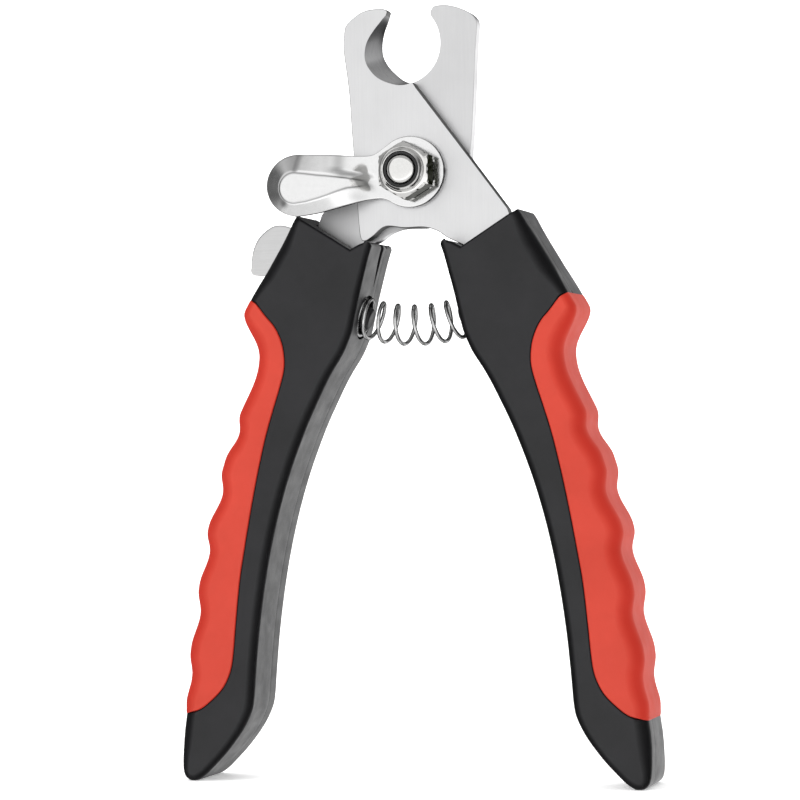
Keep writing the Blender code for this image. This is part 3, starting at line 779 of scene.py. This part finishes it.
def build_handle(side, hand, blade):
    for face, ysign in (("front", -1), ("back", 1)):
        shell = build_shell(f"{hand}_handle_{face}", side, ysign)
        tools = [seat_tool(side)]
        # only the deeper shell of each handle, the one past the shear plane, has the recesses
        if ysign == side:
            tools += [tang_tool(blade, side, ysign), slot_tool(side)]
        cut(shell, tools, sharp_deg=50, weight=100)
        register(shell, f"{hand}_half", f"{hand}_handle_{face}_shell")
    grip = build_grip(f"{hand}_grip_overmould", side)
    register(grip, f"{hand}_half", f"{hand}_grip")


build_handle(1, "right", "front")
build_handle(-1, "left", "rear")


# ============================================================ blades
# (share of the bevel, y from the shear plane) of the full-size layers of a plate
BLADE_LAYERS = [(0.03, 0.22), (0.35, 1.1), (0.7, 1.95), (0.96, 2.68)]


def build_blade(which, side, ysign, mats):
    """A plate on one side of the shear plane. mats: face, bevel, cut edge, where a darker material
    is painted shade.
    """
    body, edge, face = blade_outline(which)
    n_body = len(body)
    small = simple_inset(body + edge, 0.12)[:n_body]

    def ring(outline, share, y):
        notch = [(a[0] + (b[0] - a[0]) * share, a[1] + (b[1] - a[1]) * share)
                 for a, b in zip(edge, face)]
        return [(side * x, ysign * y, z) for x, z in outline + notch]

    rings = [ring(small, 0.0, 0.10)]
    rings += [ring(body, share, y) for share, y in BLADE_LAYERS]
    rings.append(ring(small, 1.0, BLADE_FACE))
    bm = bmesh.new()
    skin(bm, rings, wall_mat=lambda i: 1 if n_body <= i < n_body + NOTCH_COUNT - 1 else 2)
    blade = make_object(f"blade_{which}", bm, mats, 28)
    cut(blade, [bore_tool(-6, 12, 3.1)], sharp_deg=28, weight=100)
    return blade


# the front blade's walls carry painted shade
register(build_blade("front", 1, -1, [M_STEEL, M_BEVEL, M_BLADE_WALL_SHADE]),
         "right_half", "front_blade")
# the rear blade is a darker copy of the steel, painted shade
register(build_blade("rear", -1, 1, [M_STEEL_REAR_SHADED, M_BEVEL, M_STEEL_REAR_SHADED]),
         "left_half", "rear_blade")


# ============================================================ pivot stack
NUT_ACROSS_FLATS = 10.0
SOCKET_ACROSS_FLATS = 4.0

# closed (y, radius) profile; the hexagon limits the radius
NUT_PROFILE = [(-4.62, 4.9), (-4.62, 5.25), (-4.95, 5.82), (-5.4, 5.9), (-7.6, 5.9),
               (-8.2, 5.85), (-8.62, 5.35), (-8.95, 4.86), (-9.02, 4.75), (-9.10, 4.42),
               (-9.35, 4.22), (-9.8, 4.12), (-10.15, 3.98), (-10.38, 3.78), (-10.50, 3.68),
               (-10.46, 3.58), (-10.28, 3.52), (-9.9, 3.56), (-9.2, 3.56), (-9.2, 3.05),
               (-4.62, 3.05)]
# closed (y, radius) profiles
SEAL_PROFILE = [(-9.25, 3.52), (-10.12, 3.52), (-10.24, 3.44), (-10.26, 3.14), (-10.20, 3.00),
                (-9.9, 2.92), (-9.25, 2.92)]
WASHER_PROFILE = [(3.08, 3.2), (3.05, 5.5), (3.12, 5.58), (3.45, 5.58), (3.52, 5.5), (3.55, 3.2)]
# (y, radius) of the bolt: domed front end, shank, pan head behind
BOLT_PROFILE = [(-10.95, 0.6), (-10.93, 1.2), (-10.90, 1.9), (-10.82, 2.34), (-10.68, 2.56),
                (-10.44, 2.72), (-10.1, 2.82), (-9.6, 2.84), (-9.3, 2.80), (-4.4, 2.80),
                (-4.3, 2.95), (4.9, 2.95), (4.95, 5.2), (5.05, 5.38), (5.6, 5.4), (6.1, 5.25),
                (6.6, 4.9), (6.95, 4.4), (7.15, 3.8), (7.22, 3.2)]


def hexagon_radius(angle):
    """Radius of the nut's hexagon, which has a vertex at the top."""
    t = (angle - math.pi / 2) % (math.pi / 3) - math.pi / 6
    return (NUT_ACROSS_FLATS / 2) / math.cos(t)


def build_ring(name, profile, mats, count=96, smooth_deg=35, limit=None):
    """Closed profile turned about the pivot axis. limit(angle) caps the radius."""
    bm = bmesh.new()
    rows = []
    for angle in turns(count):
        row = []
        for y, r in profile:
            if limit:
                r = min(limit(angle), r)
            row.append(bm.verts.new(Vector((r * math.cos(angle), y, r * math.sin(angle))) * MM))
        rows.append(row)
    n = len(profile)
    for i in range(count):
        a, b = rows[i], rows[(i + 1) % count]
        for j in range(n):
            k = (j + 1) % n
            bm.faces.new((a[j], b[j], b[k], a[k]))
    return make_object(name, bm, mats, smooth_deg)


def build_nut():
    nut = build_ring("nut_body", NUT_PROFILE, [M_ZINC, M_NUT_FLAT_SHADE, M_NUT_DULL, M_NUT_FLAT_DEEP_SHADE],
                     count=144, smooth_deg=24, limit=hexagon_radius)
    for face in nut.data.polygons:
        centre = face.center
        outside = math.hypot(centre.x, centre.z) > 4.8 * MM
        if abs(face.normal.y) < 0.3 and -8.7 < centre.y / MM < -4.7 and outside:
            # painted dark reflections: the flats facing right get dark copies of the zinc, the
            # deepest where they face straight right; those facing left get the rougher, dull zinc
            facing = face.normal.x
            face.material_index = 3 if facing > 0.8 else 1 if facing > -0.3 else 2
    return nut


def build_bolt():
    bm = bmesh.new()
    skin(bm, [pivot_circle(y, r, 96) for y, r in BOLT_PROFILE])
    bolt = make_object("pivot_screw", bm, [M_ZINC], 35)
    corner = SOCKET_ACROSS_FLATS / math.sqrt(3)
    socket = skin_tool("tool_socket", [pivot_circle(y, corner, 6) for y in (5.0, 9.0)])
    cut(bolt, [socket], sharp_deg=30, weight=50)
    return bolt


register(build_nut(), "left_half", "lock_nut")
register(build_ring("nut_seal_ring", SEAL_PROFILE, [M_NYLON]),
         "left_half", "nut_nylon_insert")
register(build_bolt(), "left_half", "pivot_bolt")
register(build_ring("wave_washer", WASHER_PROFILE, [M_ZINC]),
         "left_half", "pivot_washer")


# ============================================================ pressed plates
PLATE_BORE_R = 3.15


def stations(first, last, count, crowding):
    """Places along a plate, denser at both ends."""
    out = []
    for i in range(count + 1):
        t = i / count
        out.append(first + (last - first) * (t - crowding * math.sin(2 * math.pi * t)))
    return out


def across(count, crowding):
    """Places across a plate from -1 to 1, denser at both edges."""
    out = []
    for j in range(count + 1):
        q = -1 + 2 * j / count
        out.append(math.sin(q * math.pi / 2) * crowding + q * (1 - crowding))
    return out


def lip_drop(edge_distance, width, depth):
    """How far the rounded lip falls below the face."""
    t = min(1.0, edge_distance / width)
    return depth * (1 - math.sqrt(max(0.0, 1 - (1 - t) ** 2)))


def plate_skin(bm, front, back):
    """Skin over two grids. Returns the front verts, and the side and end faces by place."""
    rows = [[[bm.verts.new(Vector(p) * MM) for p in row] for row in grid]
            for grid in (front, back)]
    f, b = rows
    n_s, n_t = len(front) - 1, len(front[0]) - 1
    sides, ends = {}, {}
    for i in range(n_s):
        for j in range(n_t):
            bm.faces.new((f[i][j], f[i + 1][j], f[i + 1][j + 1], f[i][j + 1]))
            bm.faces.new((b[i][j], b[i][j + 1], b[i + 1][j + 1], b[i + 1][j]))
        for j in (0, n_t):
            sides[i, j] = bm.faces.new((f[i][j], b[i][j], b[i + 1][j], f[i + 1][j]))
    for j in range(n_t):
        for i in (0, n_s):
            ends[i, j] = bm.faces.new((f[i][j], f[i][j + 1], b[i][j + 1], b[i][j]))
    return f, sides, ends


# ============================================================ thumb lever
# s runs from the pivot to the left (-x). (s, z) of the upper and lower edges past the boss:
LEVER_BOSS_R, LEVER_NECK = 7.0, 4.2
LEVER_TOP = curve([(4.2, 5.6), (5.4, 4.75), (6.6, 3.95), (7.8, 3.45), (10.0, 3.3), (13.0, 3.4),
                   (16.0, 3.5), (21.4, 3.7)], 0.4)
LEVER_LOW = curve([(4.2, -5.6), (5.4, -5.2), (6.8, -5.15), (8.2, -5.35), (9.6, -5.7),
                   (13.0, -6.85), (16.4, -7.8), (18.8, -8.2), (21.4, -8.5)], 0.4)
# elliptical end: where it starts, its length, middle z and half height
END_S, END_LENGTH, END_Z, END_H = 21.4, 6.5, -2.4, 6.1
# (s, z, radius) along the teardrop on the face
TEAR = [(9.1, -2.1, 0.42), (11.9, -2.15, 0.87), (13.5, -2.36, 1.24), (15.8, -2.67, 1.8),
        (17.4, -2.83, 2.12), (20.0, -2.95, 2.62), (21.9, -2.95, 2.85)]
PINCH = (8.2, -2.4)        # (s, z) where the teardrop runs into the neck
LEVER_Y = -4.25            # front of the boss
LEVER_RISE = 4.95          # how far forward the ramp takes the face


def lever_edges(s):
    if s < LEVER_NECK:
        half = math.sqrt(max(0.0, LEVER_BOSS_R ** 2 - s * s))
        return half, -half
    if s <= END_S:
        return interpolate(LEVER_TOP, s), interpolate(LEVER_LOW, s)
    t = min(1.0, (s - END_S) / END_LENGTH)
    half = END_H * math.sqrt(max(0.0, 1 - t * t))
    return END_Z + half, END_Z - half


def tear_distance(s, z):
    """Distance from the outline of the teardrop, negative inside it."""
    best = 1e9
    for (s0, z0, r0), (s1, z1, r1) in zip(TEAR, TEAR[1:]):
        for k in range(7):
            t = k / 6
            reach = math.hypot(s - (s0 + (s1 - s0) * t), z - (z0 + (z1 - z0) * t))
            best = min(best, reach - (r0 + (r1 - r0) * t))
    return best


def lever_height(s, z, edge_distance):
    """How far forward of the boss the face is, and how much painted shade it gets, 0 to 1, in its
    creases and rim marks.
    """
    # the ramp starts a little later above the pinch
    foot = 5.2 + 1.5 * smooth01((z + 2.0) / 2.6)
    base = LEVER_RISE * smooth01((s - foot) / (16.2 - foot))
    # the face rises from the outer edge to the teardrop
    d = tear_distance(s, z)
    u = edge_distance / (edge_distance + max(0.0, d) + 1e-6)
    rise = 1.15 * (u - 0.05 * smooth01((u - 0.8) / 0.2) if u < 1 else 0.95)
    rise *= smooth01((s - 7.6) / 5.0)
    # shallow crease round the teardrop, and a slanted oval pinch: slight dents that also get
    # painted shade
    line = bell(d - 0.14, 0.19) * smooth01((s - 8.4) / 1.4)
    ds, dz = s - PINCH[0], z - PINCH[1]
    pinch = math.exp(-((ds * 0.75 + dz * 0.66) ** 2 / 1.5 + (ds * 0.66 - dz * 0.75) ** 2 / 0.45))
    # marks on the rim, all with painted shade: a hollow across its upper part, a patch low by the
    # neck, the far end, and the end's upper and lower corners; only the hollow and the corners are
    # dents
    rim = smooth01((d - 0.1) / 0.5)
    hollow = bell(s - 13.3, 1.25) * smooth01(z / 1.2) * rim
    low = bell(s - 10.2, 1.6) * bell(z + 4.9, 1.0) * rim
    end = (1 + 0.7 * smooth01((z + 2.5) / 5.0)) * smooth01((s - 21.7 + 0.25 * z) / 0.6) * rim
    end *= smooth01((z + 6.6) / 0.6 + (s - 24.0) / 0.6)
    upper = bell(s - 21.8 + 0.25 * z, 0.55) * smooth01((z + 0.2) / 0.8)
    lower = math.exp(-((s - 24.2) ** 2 + (z + 6.0) ** 2) / 0.9)
    corner = max(upper, lower) * rim
    height = base + rise - 0.015 * line - 0.14 * pinch - 0.08 * hollow - 0.05 * corner
    # painted shade from the creases, the pinch and the rim marks
    crease_shade = (0.85 * line + 0.70 * pinch + 0.50 * hollow + 0.55 * corner + 0.26 * end
              + 0.26 * low)
    return height, min(1.0, crease_shade)


def build_lever():
    places = stations(-(LEVER_BOSS_R - 0.03), END_S + END_LENGTH - 0.03, 230, crowding=0.10)
    front, back, shade = [], [], []
    for s in places:
        top, low = lever_edges(s)
        half = (top - low) / 2
        thickness = 1.10 - 0.10 * smooth01((s - 8) / 3)
        front_row, back_row, shade_row = [], [], []
        for q in across(92, crowding=0.35):
            z = (top + low) / 2 + half * q
            if s > END_S:
                reach = math.hypot((s - END_S) / END_LENGTH * END_H, z - END_Z)
                edge_distance = max(0.0, END_H - reach)
            else:
                edge_distance = half * (1 - abs(q))
            height, crease_shade = lever_height(s, z, edge_distance)
            lip = lip_drop(edge_distance, width=0.22, depth=0.13)
            front_row.append((-s, LEVER_Y - height + lip, z))
            back_row.append((-s, LEVER_Y - height + thickness - lip, z))
            shade_row.append(crease_shade)
        front.append(front_row)
        back.append(back_row)
        shade.append(shade_row)
    bm = bmesh.new()
    # each point's painted shade
    layer = bm.verts.layers.float.new("crease_shade")
    verts, sides, ends = plate_skin(bm, front, back)
    for row, crease_shades in zip(verts, shade):
        for vert, crease_shade in zip(row, crease_shades):
            vert[layer] = crease_shade
    # painted shade: the dark edge material round the boss and along the underside
    for (i, j), face in sides.items():
        face.material_index = 1 if places[i] < 7.5 or j == 0 else 0
    for (i, _), face in ends.items():
        face.material_index = 1 if i == 0 else 0
    lever = make_object("thumb_lever", bm, [M_BRIGHT, M_LEVER_EDGE_SHADE], 45)
    cut(lever, [bore_tool(-7, 8, PLATE_BORE_R)], sharp_deg=45)
    return lever


register(build_lever(), "lock_lever", "lock_lever")


# ============================================================ nail guard
# s runs from the pivot at this angle from +x, to the lower left
GUARD_ANGLE = 206.0
GUARD_BOSS_R, GUARD_NECK = 6.5, 4.6
GUARD_TIP_S, GUARD_TIP_LENGTH = 41.2, 0.32
# (s, distance to the side) of the upper and lower edges
GUARD_UP = curve([(4.6, 4.5), (8.0, 3.4), (12.0, 2.8), (18.0, 1.7), (24.0, 1.5), (27.0, 2.4),
                  (29.7, 4.0), (31.4, 5.5), (33.5, 6.2), (36.6, 5.6), (38.8, 4.1), (40.4, 2.1),
                  (41.2, 0.6)], 0.5)
GUARD_DOWN = curve([(4.6, -4.5), (8.0, -4.0), (12.0, -4.3), (18.0, -4.7), (24.0, -4.9),
                    (29.7, -4.6), (33.5, -4.2), (36.6, -3.2), (38.8, -2.3), (40.4, -1.4),
                    (41.2, -0.9)], 0.5)
GUARD_THICKNESS = 1.0
# three ribs across the tab, on the back: middle s, pitch, half length of the ribbed part, height
RIB_S, RIB_PITCH, RIB_REACH, RIB_HEIGHT = 35.0, 2.2, 2.8, 0.28


def guard_edges(s):
    if s < GUARD_NECK:
        half = math.sqrt(max(0.0, GUARD_BOSS_R ** 2 - s * s))
        return half, -half
    top, low = interpolate(GUARD_UP, s), interpolate(GUARD_DOWN, s)
    if s > GUARD_TIP_S:
        k = math.sqrt(max(0.0, 1 - ((s - GUARD_TIP_S) / GUARD_TIP_LENGTH) ** 2))
        middle = (top + low) / 2
        top, low = middle + (top - middle) * k, middle + (low - middle) * k
    return top, low


def rib_height(s, edge_distance):
    if abs(s - RIB_S) >= RIB_REACH:
        return 0.0
    wave = max(0.0, math.cos((s - RIB_S) * 2 * math.pi / RIB_PITCH)) ** 2
    return RIB_HEIGHT * wave * smooth01((edge_distance - 0.9) / 0.6)


def build_guard():
    a = math.radians(GUARD_ANGLE)
    along = Vector((math.cos(a), 0, math.sin(a)))
    sideways = Vector((math.sin(a), 0, -math.cos(a)))
    front, back = [], []
    for s in stations(-(GUARD_BOSS_R - 0.02), GUARD_TIP_S + GUARD_TIP_LENGTH - 0.02, 140,
                      crowding=0.09):
        top, low = guard_edges(s)
        # the plate steps back past the boss
        y = 3.8 + 4.6 * smooth01((s - 8.0) / 4.8)
        front_row, back_row = [], []
        for q in across(24, crowding=0.5):
            edge_distance = (top - low) / 2 * (1 - abs(q))
            lip = lip_drop(edge_distance, width=0.25, depth=0.12)
            p = along * s + sideways * ((top + low) / 2 + (top - low) / 2 * q)
            rib = rib_height(s, edge_distance)
            front_row.append((p.x, y + lip, p.z))
            back_row.append((p.x, y + GUARD_THICKNESS - lip + rib, p.z))
        front.append(front_row)
        back.append(back_row)
    bm = bmesh.new()
    plate_skin(bm, front, back)
    guard = make_object("nail_stop_guard", bm, [M_GUARD], 45)
    cut(guard, [bore_tool(2, 6, PLATE_BORE_R)], sharp_deg=45)
    return guard


register(build_guard(), "nail_guard", "nail_guard")


# ============================================================ spring posts
# (distance along the axis, radius), from 1.5 mm inside the wall
PEG_PROFILE = [(0.0, 2.3), (2.4, 2.3), (2.8, 2.2), (3.05, 1.95), (3.15, 1.6)]


def build_peg(name, side):
    wall, axis = wall_frame(side)
    base = wall - axis * 1.5
    u = Vector((0, 1, 0))
    w = axis.cross(u)
    bm = bmesh.new()
    skin(bm, [circle(base + axis * s, u, w, r, 48) for s, r in PEG_PROFILE])
    return make_object(name, bm, [M_BLACK], 40)


for side, hand in ((1, "right"), (-1, "left")):
    register(build_peg(f"{hand}_spring_peg", side),
             f"{hand}_half", f"{hand}_spring_post")


# ============================================================ spring
SPRING_HALF = 19.9         # degrees from the middle to the spring's end, inside the seat
CLOSED_TURNS = 1.0         # at each end
ACTIVE_TURNS = 6.05
STEPS_PER_TURN = 40
WIRE_SIDES = 12
COIL_START = 208           # degrees round the coil where the wire starts
PITCH_EASE = 0.14          # eases the closed pitch into the open pitch


def build_spring():
    """Returns the coil and each vertex's share of the way from its left end to its right."""
    total = ACTIVE_TURNS + 2 * CLOSED_TURNS
    steps = int(total * STEPS_PER_TURN)
    closed_pitch = math.degrees(2 * WIRE_R * 1.04 / SPRING_R)
    start, stop = -SPRING_HALF + closed_pitch / 2, SPRING_HALF - closed_pitch / 2
    active_span = (stop - start) - 2 * CLOSED_TURNS * closed_pitch
    rings, shares = [], []
    for i in range(steps + 1):
        turn = total * i / steps
        if turn < CLOSED_TURNS:
            degrees = start + closed_pitch * turn
        elif turn > CLOSED_TURNS + ACTIVE_TURNS:
            degrees = stop - closed_pitch * (total - turn)
        else:
            f = (turn - CLOSED_TURNS) / ACTIVE_TURNS
            f -= PITCH_EASE * math.sin(2 * math.pi * f) / (2 * math.pi)
            degrees = start + closed_pitch * CLOSED_TURNS + active_span * f
        theta = 2 * math.pi * turn + math.radians(COIL_START)
        a = math.radians(degrees)
        radial = Vector((math.sin(a), 0, -math.cos(a)))
        along = Vector((math.cos(a), 0, math.sin(a)))
        out = radial * math.cos(theta) + Vector((0, 1, 0)) * math.sin(theta)
        centre = Vector((0, 0, SPRING_Z)) + radial * SPRING_R + out * COIL_R
        rings.append(circle(centre, out, along, WIRE_R, WIRE_SIDES))
        shares += [(degrees - start) / (stop - start)] * WIRE_SIDES
    bm = bmesh.new()
    skin(bm, rings)
    return new_object("coil_spring", bm, [M_WIRE]), shares


spring, spring_shares = build_spring()
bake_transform(spring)
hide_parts("return_spring")

# the tang pins keep their CAD shape
for node_name, node in frame["nodes"].items():
    if "tang_pin" in node_name:
        node.data.materials.clear()
        node.data.materials.append(M_ZINC)


# ============================================================ stage (metres)
SWEEP_HALF_WIDTH = 2.6
FLOOR_FRONT, FLOOR_BACK = -1.6, 0.75       # y of the flat floor
SWEEP_R = 0.35
BACKDROP_TOP = 2.4
SWEEP_GLOW = 0.28


def sweep_material():
    mat, g, shader = new_material("sweep_white")
    white = (0.93, 0.93, 0.93)
    base = g.ramp(g.noise(g.coords(), scale=9, detail=3, rough=0.5),
                  tuple(c * 0.985 for c in white), white, stops=(0.3, 0.7))
    # the floor keeps its tone away from the lamps
    reach = g.add("ShaderNodeVectorMath", "Value",
                  {0: g.add("ShaderNodeNewGeometry", "Position")}, operation="LENGTH")
    glow = g.remap(reach, source=(0.5, 1.5), target=(SWEEP_GLOW, SWEEP_GLOW + 0.55))
    g.fill(shader, {"Base Color": base, "Roughness": 0.9, "Specular IOR Level": 0.1,
                    "Emission Color": (1, 1, 1, 1), "Emission Strength": glow})
    return mat


def build_stage():
    """A pale sweep: flat floor, then a large-radius curve up into the backdrop."""
    profile = [(FLOOR_FRONT, 0.0)]
    for i in range(25):
        a = math.radians(90 * i / 24)
        profile.append((FLOOR_BACK + SWEEP_R * math.sin(a), SWEEP_R - SWEEP_R * math.cos(a)))
    profile.append((FLOOR_BACK + SWEEP_R, BACKDROP_TOP))
    bm = bmesh.new()
    left, right = [[bm.verts.new((x, y, z + GROUND)) for y, z in profile]
                   for x in (-SWEEP_HALF_WIDTH, SWEEP_HALF_WIDTH)]
    for i in range(len(profile) - 1):
        bm.faces.new((left[i], right[i], right[i + 1], left[i + 1]))
    sweep = new_object("sweep", bm, [sweep_material()], location=(0, 0, 0))
    sweep.visible_glossy = False


build_stage()


# ============================================================ world
# Azimuth 0 is in front of the object, positive to its right; angles are in degrees.
WORLD_BASE = 0.12
CAMERA_LEVEL = 0.97        # what the camera itself sees
# large soft box in front: (from, to, softness) in azimuth and elevation, and its level
BOX_AZIMUTH, BOX_ELEVATION, BOX_LEVEL = (-45, 84, 14), (-30, 34, 16), 0.94
# azimuth, elevation, inner radius, outer radius, level
WORLD_GLOWS = [(0, 0, 179, 180, WORLD_BASE),    # even light all round
               (0, 80, 20, 66, 0.40),           # overhead diffuser
               (166, -8, 12, 33, 1.58),         # wash on the backdrop, back right
               (10, -75, 30, 80, 0.72),         # light from the table
               (-100, 10, 20, 50, 0.22)]        # dim fill, left


def glow(g, direction, azimuth, elevation, inner, outer, level):
    """A soft round patch of light in the surroundings."""
    az, el = math.radians(azimuth), math.radians(elevation)
    centre = (math.sin(az) * math.cos(el), -math.cos(az) * math.cos(el), math.sin(el))
    facing = g.add("ShaderNodeVectorMath", "Value", {0: direction, 1: centre},
                   operation="DOT_PRODUCT")
    source = (math.cos(math.radians(outer)), math.cos(math.radians(inner)))
    return g.remap(facing, source, (0.0, level), "SMOOTHSTEP")


def soft_box(g, direction):
    """A soft rectangle of light, wide in azimuth."""
    split = g.axis(direction, "X").node.outputs
    azimuth = g.math("ARCTAN2", split["X"], g.math("MULTIPLY", split["Y"], -1.0))
    elevation = g.math("ARCSINE", split["Z"])
    level = BOX_LEVEL
    for angle, (first, last, soft) in ((azimuth, BOX_AZIMUTH), (elevation, BOX_ELEVATION)):
        for edge, way in ((first, 1), (last, -1)):
            source = (math.radians(edge - way * soft / 2), math.radians(edge + way * soft / 2))
            inside = g.remap(angle, source, (0.0, 1.0), "SMOOTHSTEP")
            level = g.math("MULTIPLY", inside, level)
    return level


def build_world():
    world = bpy.data.worlds.new("studio")
    bpy.context.scene.world = world
    world.use_nodes = True
    world.node_tree.nodes.clear()
    g = Graph(world.node_tree)
    direction = g.add("ShaderNodeTexCoord", "Generated")
    light = glow(g, direction, *WORLD_GLOWS[0])
    light = g.math("ADD", light, soft_box(g, direction))
    for patch in WORLD_GLOWS[1:]:
        light = g.math("ADD", light, glow(g, direction, *patch))
    seen = g.add("ShaderNodeLightPath", "Is Camera Ray")
    strength = g.add("ShaderNodeMix", 0, {0: seen, 2: light, 3: CAMERA_LEVEL})
    background = g.add("ShaderNodeBackground", 0,
                       {"Color": (1, 1, 1, 1), "Strength": strength})
    g.fill(world.node_tree.nodes.new("ShaderNodeOutputWorld"), {0: background})


build_world()


# ============================================================ lamps (metres, watts)
def area(name, location, aim, width, height, power):
    lamp = bpy.data.lights.new(name, "AREA")
    lamp.energy = power
    lamp.shape = "RECTANGLE"
    lamp.size = width
    lamp.size_y = height
    holder = bpy.data.objects.new(name, lamp)
    bpy.context.scene.collection.objects.link(holder)
    holder.location = location
    holder.rotation_mode = "QUATERNION"
    direction = Vector(aim) - Vector(location)
    holder.rotation_quaternion = direction.to_track_quat("-Z", "Y")
    # reflections come from the soft surroundings
    holder.visible_glossy = False


TRIMMER = Vector((0, 0, PIVOT.z - 0.03))
area("key_front", (-0.34, -0.40, 0.55), TRIMMER, width=0.42, height=0.42, power=2.5)
area("side_right", (0.75, -0.30, 0.30), TRIMMER, width=0.30, height=0.6, power=0.6)
area("top", (0.0, 0.10, 0.95), TRIMMER, width=0.8, height=0.8, power=2.0)
area("back_wash", (0.0, 0.45, 0.75), (0, 1.1, 0.2), width=1.2, height=1.2, power=3.0)

# ============================================================ camera
CAMERA_AZIMUTH, CAMERA_ELEVATION, CAMERA_ROLL = 16.1797, -0.747, -0.6303   # degrees
CAMERA_DISTANCE = 600.0                    # mm
CAMERA_TARGET = Vector((-3.5876, 0.0, -44.8048))
VIEW_WIDTH = 158.4                         # mm across the frame at the target
SENSOR_WIDTH = 36.0


def build_camera():
    az, el = math.radians(CAMERA_AZIMUTH), math.radians(CAMERA_ELEVATION)
    roll = math.radians(CAMERA_ROLL)
    back = Vector((math.sin(az) * math.cos(el), -math.cos(az) * math.cos(el), math.sin(el)))
    level = Vector((math.cos(az), math.sin(az), 0.0))
    upright = back.cross(level)
    right = level * math.cos(roll) + upright * math.sin(roll)
    up = -level * math.sin(roll) + upright * math.cos(roll)
    place = PIVOT + (CAMERA_TARGET + back * CAMERA_DISTANCE) * MM
    lens = bpy.data.cameras.new("camera")
    camera = bpy.data.objects.new("camera", lens)
    bpy.context.scene.collection.objects.link(camera)
    camera.matrix_world = Matrix([*zip(right, up, back, place), (0, 0, 0, 1)])
    lens.sensor_width = SENSOR_WIDTH
    lens.lens = CAMERA_DISTANCE * SENSOR_WIDTH / VIEW_WIDTH
    lens.clip_start = 0.01
    lens.clip_end = 20.0
    bpy.context.scene.camera = camera


build_camera()
bpy.context.scene.view_settings.view_transform = "Standard"
bpy.context.scene.view_settings.look = "None"
